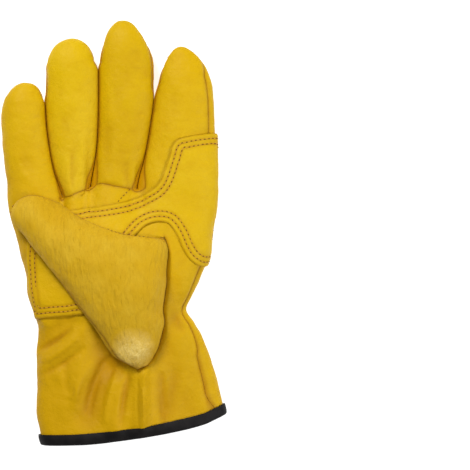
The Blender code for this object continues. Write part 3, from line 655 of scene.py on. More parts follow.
def hand_rings():
    """Rows of points from the cuff to the finger roots, with their places along the hand.

    Each row goes round the hand as a left and a right run, which meet at the column through the
    thumb's hole and part where the hole is open. Each run comes with its steps' panels.
    """
    roots, panels = root_ring()
    count = len(roots)
    side = SIDE_STEPS // 2
    half = count // 2
    left_edge, right_edge = side, side + half
    hole = SIDE_STEPS + 3 * FRONT_STEPS + 2 * WEB_STEPS + WEB_STEPS // 2
    cuff_width = np.ptp(hand_edges(-REST_POINT))
    places = spread(half, SIDE_SEAM_INSET / cuff_width)

    across_root = []
    for point in roots:
        left, right = hand_edges(point.y)
        across_root.append((point.x - left) / (right - left))

    table = THUMB_HOLE + [(1.0, across_root[hole], across_root[hole])]
    places_up = [0.0, BINDING_ROW / HAND_LENGTH, *CUFF_ROWS, *HOLE_ROWS, *UPPER_ROWS]
    rows = finer(places_up, ROW_STEP / HAND_LENGTH)

    def point(i, up, opening):
        upper = left_edge <= i % count <= right_edge
        rank = (i - left_edge) % count
        start = places[rank] if rank <= half else places[count - rank]
        if half - side <= rank <= half:
            start = 1 - (1 - start) * blend(CUFF_SEAM_SHARE, 1, ease(up / CUFF_ROWS[0]))
        share = ease(up)
        across = blend(start, across_root[i % count], share)
        bottom_start = start
        if upper:
            rank_hole = hole - left_edge
            natural = blend(places[rank_hole], across_root[hole], share)
            cuff_natural = places[rank_hole]
            cuff_hole = THUMB_HOLE[0][1]
            edges = [read(table, up, 1), read(table, up, 2)]
            if not HOLE_ROWS[0] < up < HOLE_ROWS[-1]:
                edges = [sum(edges) / 2] * 2
            if i < hole or (i == hole and opening == 1):
                across *= edges[0] / natural
                bottom_start = start * cuff_hole / cuff_natural
            else:
                across = 1 - (1 - across) * (1 - edges[1]) / (1 - natural)
                bottom_start = 1 - (1 - start) * (1 - cuff_hole) / (1 - cuff_natural)
        if up == 1.0:
            return roots[i % count].copy()
        y = blend(cuff_line(bottom_start), roots[i % count].y, up)
        left, right = hand_edges(y)
        x = blend(left, right, across)
        return Vector((x, y, skin_height(x, y, upper)))

    runs = []
    for up in rows:
        left_run = [point(i, up, 1) for i in range(0, hole + 1)]
        right_run = [point(i, up, 2) for i in range(hole, count + 1)]
        runs.append((left_run, right_run))
    return rows, runs, (panels[:hole], panels[hole:])


class Skin:
    """A surface of faces that each belong to a panel, cut from it later along the seams."""

    def __init__(self, panels):
        self.mesh = bmesh.new()
        self.panels = panels
        self.tag = self.mesh.faces.layers.int.new("panel")
        # Each vertex's share of painted shade, which darkens the leather in its hollows, seams and
        # grooves
        self.painted_shade = self.mesh.verts.layers.float.new("painted_shade")

    def grid(self, rows, panels):
        """Adds a face between each two neighbours of two rows. panels names each step's panel."""
        verts = [[self.mesh.verts.new(point) for point in row] for row in rows]
        for low, high in zip(verts, verts[1:]):
            for i, panel in enumerate(panels):
                face = self.mesh.faces.new((low[i], low[i + 1], high[i + 1], high[i]))
                face[self.tag] = self.panels.index(panel)

    def close(self):
        """Joins the grids where they meet, and works out the skin's normals."""
        bmesh.ops.remove_doubles(self.mesh, verts=self.mesh.verts[:], dist=MERGE_DISTANCE)
        self.mesh.normal_update()
        self.mesh.verts.index_update()
        self.mesh.verts.ensure_lookup_table()

    def faces_of(self, panel):
        number = self.panels.index(panel)
        return [face for face in self.mesh.faces if face[self.tag] == number]

    def seams(self):
        """The edges between two panels."""
        return [e for e in self.mesh.edges if len({face[self.tag] for face in e.link_faces}) > 1]

    def rims(self):
        """The edges of the skin's openings and free borders."""
        return [edge for edge in self.mesh.edges if edge.is_boundary]

    def places(self):
        return np.array([vert.co for vert in self.mesh.verts])

    def normals(self):
        return np.array([vert.normal for vert in self.mesh.verts])

    def move(self, steps):
        for vert, step in zip(self.mesh.verts, steps):
            vert.co += Vector(step)
            vert.co.z = max(vert.co.z, 0.0)
        self.mesh.normal_update()

    # Sets each vertex's share of painted shade
    def mark(self, creases):
        for vert, painted_shade in zip(self.mesh.verts, creases):
            vert[self.painted_shade] = float(painted_shade)


def key(point):
    return tuple(round(c, 6) for c in point)


def point_tree(spots):
    """A search tree over some points."""
    tree = KDTree(len(spots))
    for i, spot in enumerate(spots):
        tree.insert(spot, i)
    tree.balance()
    return tree


def distances(places, edges):
    """How far each place is from the nearest of these edges."""
    spots = [vert.co for edge in edges for vert in edge.verts]
    spots += [(edge.verts[0].co + edge.verts[1].co) / 2 for edge in edges]
    tree = point_tree(spots)
    return np.array([tree.find(Vector(place))[2] for place in places])


def bump_of(distance, width):
    return np.exp(-((distance / width) ** 2))


def lumps(places, table):
    """The soft unevenness of worn leather: a sum of noises, each with its size and height."""
    total = np.zeros(len(places))
    for size, height in table:
        total += [height * noise.noise(Vector(place) / size) for place in places]
    return total


def plan_point(x, y):
    return np.array([x * PALM_WIDTH, y * HAND_LENGTH - REST_POINT])


def pressed_folds(places):
    """What the pressed folds add to the upper leather at these places."""
    total = np.zeros(len(places))
    for x1, y1, x2, y2, width, height in FOLDS:
        start = plan_point(x1, y1)
        run = plan_point(x2, y2) - start
        away = places[:, :2] - start
        share = np.clip(away @ run / (run @ run), 0, 1)
        apart = np.linalg.norm(away - share[:, None] * run, axis=1)
        total += height * EDGE_RADIUS * bump_of(apart, width * EDGE_RADIUS)
    return total


def fine_creases(places):
    """What the fine creases add to the upper leather; they fade to both ends."""
    total = np.zeros(len(places))
    for x1, y1, x2, y2, bend, width, height in WRINKLES:
        start = plan_point(x1, y1)
        run = plan_point(x2, y2) - start
        length = np.linalg.norm(run)
        away = places[:, :2] - start
        share = away @ run / length**2
        side = (away[:, 0] * run[1] - away[:, 1] * run[0]) / length
        arch = np.clip(4 * share * (1 - share), 0, 1)
        apart = side - bend * PALM_WIDTH * arch
        total += height * EDGE_RADIUS * arch**0.7 * bump_of(apart, width * EDGE_RADIUS)
    return total


def wrist_gathers(places):
    """How far the wrist's gathers push the back of the glove inwards."""
    along = places[:, 1] + REST_POINT - GATHER_PLACE * HAND_LENGTH
    band = bump_of(along, GATHER_REACH)
    shift = np.array([noise.noise(Vector(place) / 0.02) for place in places])
    wave = np.cos(2 * math.pi * (places[:, 0] / GATHER_PITCH + 0.6 * shift))
    return GATHER_DEPTH * band * (0.55 + 0.45 * wave)


def upper_weight(places, normals):
    """1 on the glove's upper leather, 0 round its side edges and below, and at the fingers."""
    weights = []
    for (x, y, _), normal in zip(places, normals):
        left, right = hand_edges(y)
        depth = min(x - left, right - x) / EDGE_RADIUS
        before_roots = 1 - ease(1 - (root_line(x) - y) / KNUCKLE_BLEND)
        weights.append(rounding(depth * FLAT_SHARE) * before_roots if normal[2] > 0 else 0.0)
    return np.array(weights)


def seam_relief(places, apart):
    """The roll of the leather into its seams, with puckers beside them."""
    pucker = np.array([noise.noise(Vector(place) / PUCKER_SIZE) for place in places])
    roll = SEAM_DEPTH * (1 + 0.5 * pucker) * bump_of(apart, SEAM_ROLL)
    return PUCKER_HEIGHT * pucker * np.exp(-apart / PUCKER_REACH) - roll


def crevice_steps(places, normals):
    """How far the facing sides of two fingers move in x to meet, and how surely each is one."""
    steps, shares = np.zeros(len(places)), np.zeros(len(places))
    names = list(FINGERS)
    for left, right in zip(names, names[1:]):
        for i, (x, y, _) in enumerate(places):
            middle, half, _ = finger_span(FINGERS[left], y)
            middle_after, half_after, _ = finger_span(FINGERS[right], y)
            gap = (middle_after - half_after) - (middle + half)
            facing = normals[i][0] if abs(x - middle) < half * 1.01 + 1e-6 else -normals[i][0]
            inside = middle - half * 0.1 < x < middle_after + half_after * 0.1
            if y < root_line(x) - 0.003 or not inside or facing < 0 or gap > CREVICE_REACH:
                continue
            share = min(facing, 1.0) ** 0.6 * (1 - ease(2 * gap / CREVICE_REACH - 1))
            away = math.copysign(1, normals[i][0])
            over = places[i][2] - finger_level(FINGERS[left], y)
            steps[i] = (away * (gap / 2 - CREVICE_GAP) + CREVICE_SLANT * over) * share
            shares[i] = share
    return steps, shares


def press_hand(skin):
    """Presses the folds, creases, gathers and seams into the skin of the hand."""
    places, normals = skin.places(), skin.normals()
    cuff = [e for e in skin.rims() if e.verts[0].co.y < cuff_line(0.5) and e not in hole_rim(skin)]
    seams = skin.seams() + hole_rim(skin)
    apart = distances(places, seams)
    from_cuff = distances(places, cuff)
    free = 1 - bump_of(from_cuff, BINDING_ROW)
    upper = upper_weight(places, normals)
    folds = pressed_folds(places) * upper
    creases = fine_creases(places) * np.clip(normals[:, 2] * 2, 0, 1)
    soft = lumps(places, HAND_LUMPS) * free
    below = np.clip(-normals[:, 2], 0, 1)
    closing, facing = crevice_steps(places, normals)
    along_normal = creases + (soft + seam_relief(places, apart)) * free * (1 - facing)
    along_normal -= wrist_gathers(places) * (0.35 + 0.65 * below) * (1 - upper * 0.9)
    steps = normals * along_normal[:, None]
    steps[:, 2] += folds
    steps[:, 0] += closing
    skin.move(steps)
    # Painted shade: the hollows of creases, folds and lumps, and thin lines along the seams, darken the
    # leather
    hollow_shade = np.clip(-(creases + 0.4 * folds + 0.5 * soft) / HOLLOW_SHADE_DEPTH, 0, 1) * 0.65
    lines = 0.5 * bump_of(apart, SEAM_ROLL) + 0.6 * bump_of(apart, SEAM_LINE)
    skin.mark(np.clip(hollow_shade + lines, 0, 1))


def hole_rim(skin):
    """The edges of the hole that the thumb is sewn into."""
    low = HOLE_ROWS[0] * HAND_LENGTH * 0.6 - REST_POINT
    return [edge for edge in skin.rims() if edge.verts[0].co.y > low and edge.verts[0].normal.z > 0]


def stand_back(faces, gap):
    """For each vertex on the border of these faces, the step that sets it back by the gap."""
    inward = {}
    chosen = set(faces)
    for face in faces:
        for loop in face.loops:
            if any(other is not face and other in chosen for other in loop.edge.link_faces):
                continue
            run = (loop.link_loop_next.vert.co - loop.vert.co).normalized()
            side = face.normal.cross(run)
            for vert in loop.edge.verts:
                inward.setdefault(vert, []).append(side)
    steps = {}
    for vert, sides in inward.items():
        total = sum(sides, Vector())
        spread_of = max(total.length_squared / len(sides), 0.6)
        steps[vert] = total * (gap / spread_of)
    return steps


def leather_mesh(skin, panel, thickness, gap, lift=0.0, relief=None):
    """A closed body: a panel as the leather's outer side, set back at its border, and the same
    faces again one thickness below, with a rim between them. The relief is the outer side's own.
    The inner side is bare flesh, but for its border, which is dyed and takes the full painted shade of a
    seam."""
    faces = skin.faces_of(panel)
    steps = stand_back(faces, gap)
    mesh = bmesh.new()
    painted_shade = mesh.verts.layers.float.new("painted_shade")
    flesh = mesh.verts.layers.float.new("flesh")
    pairs = {}
    for vert in {v for face in faces for v in face.verts}:
        start = vert.co + steps.get(vert, Vector())
        raised = lift + (relief[vert.index] if relief is not None else 0.0)
        outer = mesh.verts.new(start + vert.normal * raised)
        inner = mesh.verts.new(start + vert.normal * (lift - thickness))
        outer.co.z, inner.co.z = max(outer.co.z, 0.0), max(inner.co.z, 0.0)
        # The outer side keeps the skin's painted shade; the inner side's border takes it in full
        outer[painted_shade] = vert[skin.painted_shade]
        inner[painted_shade] = 1.0 if vert in steps else vert[skin.painted_shade]
        inner[flesh] = 1.0 - min(inner[painted_shade], 1.0)
        pairs[vert] = (outer, inner)
    chosen = set(faces)
    for face in faces:
        mesh.faces.new([pairs[v][0] for v in face.verts])
        mesh.faces.new([pairs[v][1] for v in reversed(face.verts)])
        for loop in face.loops:
            if any(other is not face and other in chosen for other in loop.edge.link_faces):
                continue
            start, end = loop.vert, loop.link_loop_next.vert
            mesh.faces.new((pairs[end][0], pairs[start][0], pairs[start][1], pairs[end][1]))
    return mesh


FRONT_PANELS = {"little": "palm", "ring": "ring_front", "middle": "middle_front", "index": "palm"}
SIDE_PANELS = {
    # finger: left side, right side
    "little": ("palm", "little_ring_fork"),
    "ring": ("little_ring_fork", "ring_middle_fork"),
    "middle": ("ring_middle_fork", "middle_index_fork"),
    "index": ("middle_index_fork", "back"),
}
HAND_PANELS = [
    "palm",
    "back",
    "ring_front",
    "middle_front",
    "little_ring_fork",
    "ring_middle_fork",
    "middle_index_fork",
]


def make_hand_skin():
    """The whole outer skin of the hand, fingers and cuff, with a hole for the thumb."""
    skin = Skin(HAND_PANELS)
    rows, runs, panels = hand_rings()
    for side in (0, 1):
        skin.grid([run[side] for run in runs], panels[side])
    stations = finer(FINGER_STATIONS, FINGER_STEP)
    fork_end = stations.index(FORK_END)
    for name in FINGERS:
        rings = [finger_ring(name, station) for station in stations]
        closed = [ring + ring[:1] for ring in rings]
        left, right = SIDE_PANELS[name]
        front = [FRONT_PANELS[name]] * FRONT_STEPS
        back = ["back"] * FRONT_STEPS
        skin.grid(closed[: fork_end + 1], [left] * SIDE_STEPS + front + [right] * SIDE_STEPS + back)
        left = "palm" if name == "little" else "back"
        skin.grid(closed[fork_end:], [left] * SIDE_STEPS + front + ["back"] * SIDE_STEPS + back)
    names = list(FINGERS)
    for name, neighbour in zip(names, names[1:]):
        here = finger_ring(name, 0)[RIGHT_SIDE : BACK + 1]
        there = (finger_ring(neighbour, 0) * 2)[LEFT_SIDE : FRONT + 1][::-1]
        lines = [here]
        for share in [k / WEB_STEPS for k in range(1, WEB_STEPS)]:
            dip = WEB_DIP * 4 * share * (1 - share)
            dips = [dip * (2 * k / SIDE_STEPS - 1) ** 2 for k in range(SIDE_STEPS + 1)]
            lines.append([blend(a, b, share) - Vector((0, c, 0)) for a, b, c in zip(here, there, dips)])
        lines.append(there)
        skin.grid(lines[::-1], [SIDE_PANELS[name][1]] * SIDE_STEPS)
    skin.close()
    return skin, rows, runs


def inset_outline(points, gap):
    """A closed outline's points moved inwards by the gap in plan; it runs clockwise from above."""
    moved = []
    for before, point, after in zip(points[-1:] + points[:-1], points, points[1:] + points[:1]):
        sides = [(point - before).xy.normalized(), (after - point).xy.normalized()]
        inward = sum((Vector((run.y, -run.x)) for run in sides), Vector((0, 0)))
        step = inward * (gap / max(inward.length_squared / 2, 0.5))
        moved.append(point + Vector((step.x, step.y, 0)))
    return moved


def thumb_floor(x, y):
    """The height that the thumb's underside lies at, over the palm and its patch."""
    left, right = hand_edges(y)
    held = min(max(x, left + THUMB_SHELF), right - THUMB_SHELF)
    highest = max(skin_height(held, y), skin_height(min(max(x, left), right), y))
    return highest + 2 * LAY_GAP + PATCH_LEATHER


def thumb_rings(rows, runs):
    """Rings of points along the thumb: up its right side from the hole's foot, and back down."""
    first, last = rows.index(HOLE_ROWS[0]), rows.index(HOLE_ROWS[-1])
    left_rim = [runs[j][0][-1] for j in range(first, last + 1)]
    right_rim = [runs[j][1][0] for j in range(first, last + 1)]
    foot, head = left_rim[0], left_rim[-1]
    base = (foot + head) / 2
    half_hole = math.hypot(head.x - foot.x, head.y - foot.y) / 2
    steps = len(left_rim) - 1
    outline = inset_outline(left_rim[:-1] + right_rim[:0:-1], THUMB_GAP)
    left_rim = outline[: steps + 1]
    right_rim = outline[:1] + outline[: steps - 1 : -1]
    stem = THUMB_STATIONS[1]

    def section(station):
        left, up, half, lean = (read(THUMB_SECTIONS, station, column) for column in (1, 2, 3, 4))
        middle = Vector((base.x - left * THUMB_LENGTH, base.y + up * THUMB_LENGTH))
        turn = math.radians(lean)
        reach = Vector((-math.sin(turn), math.cos(turn))) * half * half_hole
        return middle - reach, middle + reach

    def point(station, k, rim, upper):
        rim_share = (rim[k].y - foot.y) / (head.y - foot.y)
        travel = max(station - stem, 0) / (1 - stem)
        share = blend(rim_share, crowd(k / steps, THUMB_CROWDING), ease(travel / THUMB_EVEN))
        low, high = section(travel)
        plan = blend(low, high, share)
        low, high = section(0)
        bulge = Vector(rim[k].xy) - blend(low, high, rim_share)
        plan = plan + bulge * (1 - travel) ** (3 if upper else 2)
        width = 2 * read(THUMB_SECTIONS, station, 3) * half_hole
        depth = min(share, 1 - share) * width / EDGE_RADIUS
        cap = rounding((1 - station) / THUMB_CAP)
        level = thumb_floor(plan.x, plan.y) + THUMB_EDGE
        if upper:
            swell = 4 * share * (1 - share)
            height = level + (THUMB_EDGE * rounding(depth) + THUMB_CROWN * swell) * cap
        else:
            height = level - THUMB_EDGE * rounding(depth) * cap
        start = rim[k].z - LEATHER
        rise = rounding(station / THUMB_FOLD) if upper else min(station / stem, 1.0)
        return Vector((plan.x, plan.y, blend(start, height, rise)))

    rings = []
    for station in finer(THUMB_STATIONS, THUMB_STEP):
        up = [point(station, k, left_rim, False) for k in range(steps)]
        down = [point(station, k, right_rim, True) for k in range(steps, 0, -1)]
        rings.append(up + down)
    return rings


def settle(skin, shortfall, tested, moved, reach):
    """Moves a skin until the tested corners stand clear of what they lie on.

    shortfall gives the step that a point still has to make. The moved vertices take the largest of
    these steps, each fading with the distance from where it is needed.
    """
    for _ in range(10):
        needed = [(vert.co.copy(), shortfall(vert.co)) for vert in tested]
        needed = [(spot, step) for spot, step in needed if step.length > 0.00002]
        if not needed:
            break
        places = np.array([spot for spot, _ in needed])
        steps = np.array([step for _, step in needed])
        sizes = np.linalg.norm(steps, axis=1)
        for vert in moved:
            apart = np.linalg.norm(places - np.array(vert.co), axis=1)
            share = bump_of(apart, reach)
            most = int(np.argmax(sizes * share))
            vert.co += Vector(steps[most] * share[most])
    skin.mesh.normal_update()


def surface_tree(meshes):
    """One search tree over the faces of several meshes."""
    points, faces = [], []
    for mesh in meshes:
        mesh.verts.index_update()
        first = len(points)
        points += [vert.co.copy() for vert in mesh.verts]
        faces += [[first + vert.index for vert in face.verts] for face in mesh.faces]
    return BVHTree.FromPolygons(points, faces)


def make_thumb_skin(rows, runs, below):
    """The thumb's outer skin: a flattened tube, open at the hole that it is sewn into. It lies on
    the surfaces below."""
    skin = Skin(["thumb_front", "thumb_back"])
    rings = thumb_rings(rows, runs)
    steps = len(rings[0]) // 2
    order = ["thumb_back"] * steps + ["thumb_front"] * steps
    closed = [ring + ring[:1] for ring in reversed(rings)]
    skin.grid(closed[:2], ["thumb_front"] * len(order))
    skin.grid(closed[1:], order)
    stem = {key(point) for ring in rings[:2] for point in ring}
    skin.close()

    def shortfall(point):
        start = point + Vector((0, 0, THUMB_SHELF))
        hit = below.ray_cast(start, Vector((0, 0, -1)), 2 * THUMB_SHELF)[0]
        short = hit.z + THUMB_REST - point.z if hit else 0.0
        return Vector((0, 0, max(short, 0.0)))

    loose = [vert for vert in skin.mesh.verts if key(vert.co) not in stem]
    under = {vert for face in skin.faces_of("thumb_back") for vert in face.verts}
    settle(skin, shortfall, [vert for vert in loose if vert in under], loose, THUMB_SHELF)
    places, normals = skin.places(), skin.normals()
    rims = skin.rims()
    apart = distances(places, skin.seams())
    at_rim = bump_of(distances(places, rims), THUMB_RIM_REACH)
    shares = np.array([0.0 if vert in under else 1.0 for vert in skin.mesh.verts])
    rise = (lumps(places, THUMB_LUMPS) + fine_creases_of_thumb(places)) * shares * (1 - at_rim)
    rise += np.minimum(seam_relief(places, apart), 0) * (1 - at_rim) * 0.6
    skin.move(normals * rise[:, None])
    # Painted shade along the thumb's seams and round the rim of its opening
    skin.mark(np.clip(bump_of(apart, SEAM_ROLL) * 0.6 + at_rim, 0, 1))
    return skin


def fine_creases_of_thumb(places):
    """Shallow creases across the thumb, which run up and down the glove as it lies."""
    stretched = places * (1 / np.array(THUMB_CREASE_SIZES))
    return THUMB_CREASE_HEIGHT * np.array([noise.noise(Vector(place)) for place in stretched])


def edge_measure(x, y):
    """How far a point lies in from the hand's right edge, as a root that passes smoothly below 0
    round the edge and under the hand."""
    right = side_edge(y)
    return math.copysign(math.sqrt(abs(right - x)), right - x)


def side_edge(y):
    """The x of the glove's edge on the index finger's side, at the hand or at the finger."""
    middle, half, _ = finger_span(FINGERS["index"], max(y, ROOT_Y))
    return blend(hand_edges(y)[1], middle + half, ease(1 + (y - ROOT_Y) / KNUCKLE_BLEND))


def make_patch_skin(below):
    """The palm patch's underside, laid on the skin below as a strip from its outer to its inner edge."""
    table = [(i / (len(PATCH_SECTIONS) - 1), *row) for i, row in enumerate(PATCH_SECTIONS)]

    def border(share, column):
        x = read(table, share, column) * PALM_WIDTH
        y = read(table, share, column + 1) * HAND_LENGTH - REST_POINT
        return edge_measure(x, y), y

    columns = []
    for i in range(PATCH_COLUMNS + 1):
        share = crowd(i / PATCH_COLUMNS, 0.2) ** PATCH_CROWDING
        (outer, outer_y), (inner, inner_y) = border(share, 1), border(share, 3)
        column = []
        for j in range(PATCH_ROWS + 1):
            place = crowd(j / PATCH_ROWS, 0.35)
            measure = blend(outer, inner, place)
            y = blend(outer_y, inner_y, place)
            x = side_edge(y) - measure**2
            column.append(Vector((x, y, skin_height(x, y, measure >= 0))))
        columns.append(column)
    skin = Skin(["palm_patch"])
    skin.grid(list(zip(*columns)), ["palm_patch"] * PATCH_COLUMNS)
    skin.close()
    places, normals = skin.places(), skin.normals()
    rise = lumps(places, HAND_LUMPS) + LAY_GAP
    steps = normals * rise[:, None]
    steps[:, 2] += pressed_folds(places) * upper_weight(places, normals)
    skin.move(steps)

    def shortfall(point):
        near, normal, _, _ = below.find_nearest(point)
        return normal * max(LAY_GAP * 0.6 - (point - near).dot(normal), 0.0)

    settle(skin, shortfall, skin.mesh.verts[:], skin.mesh.verts[:], EDGE_RADIUS / 3)
    return skin


def patch_relief(skin):
    """How the patch's upper side thins to its edge and sinks along its stitching."""
    places = skin.places()
    apart = distances(places, skin.rims())
    relief = -0.0005 * bump_of(apart, 0.0008)
    pucker = np.array([noise.noise(Vector(place) / PUCKER_SIZE) for place in places])
    groove = np.zeros(len(places))
    for row in STITCH_ROWS:
        groove += bump_of(apart - row, GROOVE_WIDTH)
    relief -= GROOVE_DEPTH * groove * (1 + 0.4 * pucker)
    relief += PUCKER_HEIGHT * 0.8 * pucker * np.exp(-apart / (2 * PUCKER_REACH))
    # Painted shade in the stitching's grooves and along the patch's edge
    skin.mark(np.clip(0.45 * groove + 0.7 * bump_of(apart, 0.0006), 0, 1))
    return relief


def binding_section():
    """The edging's section as a ring: places along the leather from its cut edge, and heights
    over the leather's middle."""
    leather = LEATHER / 2 + BINDING_GAP
    leg = BINDING_WIDTH - BINDING_LEATHER
    outside, inside = [], []
    outer = leather + BINDING_LEATHER - BINDING_THINNING
    fold = BINDING_GAP + BINDING_LEATHER
    for k in range(BINDING_STEPS + 1):
        reach = leg * (1 - k / BINDING_STEPS)
        crown = BINDING_CROWN * (1 - (2 * reach / leg - 1) ** 2)
        outside.append((reach, outer + crown))
        inside.append((reach, leather))
    for k in range(1, BINDING_STEPS):
        turn = math.pi / 2 * k / BINDING_STEPS
        outside.append((-fold * math.sin(turn), outer * math.cos(turn)))
        inside.append((-BINDING_GAP * math.sin(turn), leather * math.cos(turn)))
    outside.append((-fold, 0.0))
    inside.append((-BINDING_GAP, 0.0))
    outside += [(reach, -height) for reach, height in reversed(outside[:-1])]
    inside += [(reach, -height) for reach, height in reversed(inside[:-1])]
    return outside + inside[::-1]


def make_binding(rows, runs, corners):
    """The black edging: a strip folded round the cuff's cut edge, as one closed ring."""
    last = rows.index(BINDING_ROW / HAND_LENGTH)
    columns = []
    for i in range(len(runs[0][0])):
        columns.append([corners[key(runs[j][0][i])] for j in range(last + 1)])
    for i in range(1, len(runs[0][1]) - 1):
        columns.append([corners[key(runs[j][1][i])] for j in range(last + 1)])
    section = binding_section()
    mesh = bmesh.new()
    painted_shade = mesh.verts.layers.float.new("painted_shade")
    rings = []
    for column in columns:
        along = (column[1].co - column[0].co).normalized()
        lengths = np.cumsum([0] + [(b.co - a.co).length for a, b in zip(column, column[1:])])
        ring = []
        for reach, height in section:
            place = column[0].co + along * min(reach, 0)
            normal = column[0].normal
            if reach > 0:
                k = min(int(np.searchsorted(lengths, reach)), last)
                share = (reach - lengths[k - 1]) / (lengths[k] - lengths[k - 1])
                place = blend(column[k - 1].co, column[k].co, share)
                normal = blend(column[k - 1].normal, column[k].normal, share).normalized()
            out = height - LEATHER / 2
            wave = 0.00016 * noise.noise(place / 0.006) * math.copysign(1, height)
            place = place + normal * (out + wave)
            vert = mesh.verts.new((place.x, place.y, max(place.z, 0.0)))
            # Painted shade along the edging's border where it lies on the leather
            vert[painted_shade] = float(bump_of(abs(reach - section[0][0]), 0.0008))
            ring.append(vert)
        rings.append(ring)
    for ring, after in zip(rings, rings[1:] + rings[:1]):
        for k in range(len(section)):
            following = (k + 1) % len(section)
            mesh.faces.new((ring[k], ring[following], after[following], after[k]))
    mesh.normal_update()
    return mesh


def linear(red, green, blue):
    """A screen colour in 0 to 255 as the linear values that a shader takes."""
    values = []
    for screen in (red, green, blue):
        share = screen / 255
        values.append(share / 12.92 if screen < 11 else ((share + 0.055) / 1.055) ** 2.4)
    return (*values, 1)


class Finish:
    """A material under construction: its nodes, and short ways to add and join them."""

    def __init__(self, name):
        self.material = bpy.data.materials.new(name)
        self.material.use_nodes = True
        self.nodes = self.material.node_tree.nodes
        self.links = self.material.node_tree.links
        self.shader = self.nodes["Principled BSDF"]
        self.place = self.nodes.new("ShaderNodeTexCoord").outputs["Object"]

    def feed(self, socket, value):
        if isinstance(value, bpy.types.NodeSocket):
            self.links.new(value, socket)
        else:
            socket.default_value = value

    def give(self, **values):
        """Sets inputs of the shader, each named with _ for a space."""
        for name, value in values.items():
            self.feed(self.shader.inputs[name.replace("_", " ")], value)

    def place_with(self, operation, vector, output):
        """What comes out when the place on the glove is combined with a fixed vector."""
        node = self.nodes.new("ShaderNodeVectorMath")
        node.operation = operation
        self.links.new(self.place, node.inputs[0])
        node.inputs[1].default_value = vector
        return node.outputs[output]

    def noise(self, scale, detail=3.0, rough=0.55, twist=0.0, place=None):
        node = self.nodes.new("ShaderNodeTexNoise")
        self.links.new(place or self.place, node.inputs["Vector"])
        node.inputs["Scale"].default_value = scale
        node.inputs["Detail"].default_value = detail
        node.inputs["Roughness"].default_value = rough
        node.inputs["Distortion"].default_value = twist
        return node.outputs["Fac"]

    def cells(self, scale):
        node = self.nodes.new("ShaderNodeTexVoronoi")
        self.links.new(self.place, node.inputs["Vector"])
        node.inputs["Scale"].default_value = scale
        return node.outputs["Distance"]

    def attribute(self, name):
        node = self.nodes.new("ShaderNodeAttribute")
        node.attribute_name = name
        return node.outputs["Fac"]

    def ramp(self, value, low, high, start=0.0, end=1.0):
        node = self.nodes.new("ShaderNodeMapRange")
        self.feed(node.inputs["Value"], value)
        node.inputs["From Min"].default_value = low
        node.inputs["From Max"].default_value = high
        node.inputs["To Min"].default_value = start
        node.inputs["To Max"].default_value = end
        return node.outputs["Result"]

    def math(self, operation, first, second):
        node = self.nodes.new("ShaderNodeMath")
        node.operation = operation
        self.feed(node.inputs[0], first)
        self.feed(node.inputs[1], second)
        return node.outputs[0]

    def mix(self, share, first, second):
        node = self.nodes.new("ShaderNodeMix")
        node.data_type = "RGBA"
        node.clamp_factor = True
        self.feed(node.inputs["Factor"], share)
        self.feed(node.inputs[6], first)
        self.feed(node.inputs[7], second)
        return node.outputs[2]

    def turned(self, tone, other, value, low, high, most=1.0):
        """A tone that turns into another, by the share most at last, as a value rises."""
        return self.mix(self.ramp(value, low, high, 0.0, most), tone, other)

    def bump(self, height, strength, distance, under=None):
        node = self.nodes.new("ShaderNodeBump")
        self.links.new(height, node.inputs["Height"])
        node.inputs["Strength"].default_value = strength
        node.inputs["Distance"].default_value = distance
        if under is not None:
            self.links.new(under, node.inputs["Normal"])
        return node.outputs["Normal"]


def grain_leather(name, colour, deep, pale):
    """Smooth dyed grain leather: mottled, with painted shade in its hollows, seams and grooves and
    towards the lower left, and with fine pores and wrinkles.
    """
    finish = Finish(name)
    mottle = finish.noise(38, 4.0, 0.6)
    clouds = finish.noise(150, 3.0, 0.6, 0.4)
    fine = finish.noise(900, 3.0, 0.6)
    along = finish.place_with("DOT_PRODUCT", PAINTED_SHADE_WAY, "Value")
    tone = finish.turned(colour, pale, mottle, 0.40, 0.66)
    tone = finish.turned(tone, deep, clouds, 0.46, 0.76, 0.55)
    tone = finish.turned(tone, deep, fine, 0.5, 0.75, 0.35)
    # Painted shade: the tone darkens towards the lower left
    tone = finish.turned(tone, deep, along, *PAINTED_SHADE_SPAN, 0.9)
    tone = finish.mix(GRAIN_DEPTH, tone, deep)
    flesh = finish.attribute("flesh")
    tone = finish.mix(flesh, tone, finish.turned(FLESH_COLOUR, FLESH_SHADE, clouds, 0.35, 0.7))
    patchy = finish.ramp(clouds, 0.2, 0.8, 0.7, 1.0)
    # Painted shade: hollows, seams and grooves turn darker orange, in patches
    painted_shade = finish.math("MULTIPLY", finish.attribute("painted_shade"), patchy)
    tone = finish.turned(tone, PAINTED_SHADE_COLOUR, painted_shade, 0.0, 1.0, 0.75)
    rough = finish.ramp(clouds, 0.3, 0.7, 0.46, 0.58)
    rough = finish.math("MAXIMUM", rough, finish.math("MULTIPLY", flesh, 0.9))
    soft = finish.bump(finish.noise(240, 2.0, 0.5, 0.3), 0.5, 0.0009)
    pores = finish.bump(finish.cells(1500), 0.5, 0.0002, soft)
    grain = finish.bump(finish.noise(1700, 2.0, 0.6), 0.4, 0.0002, pores)
    finish.give(Base_Color=tone, Roughness=rough, Specular_IOR_Level=0.12, Normal=grain)
    return finish.material


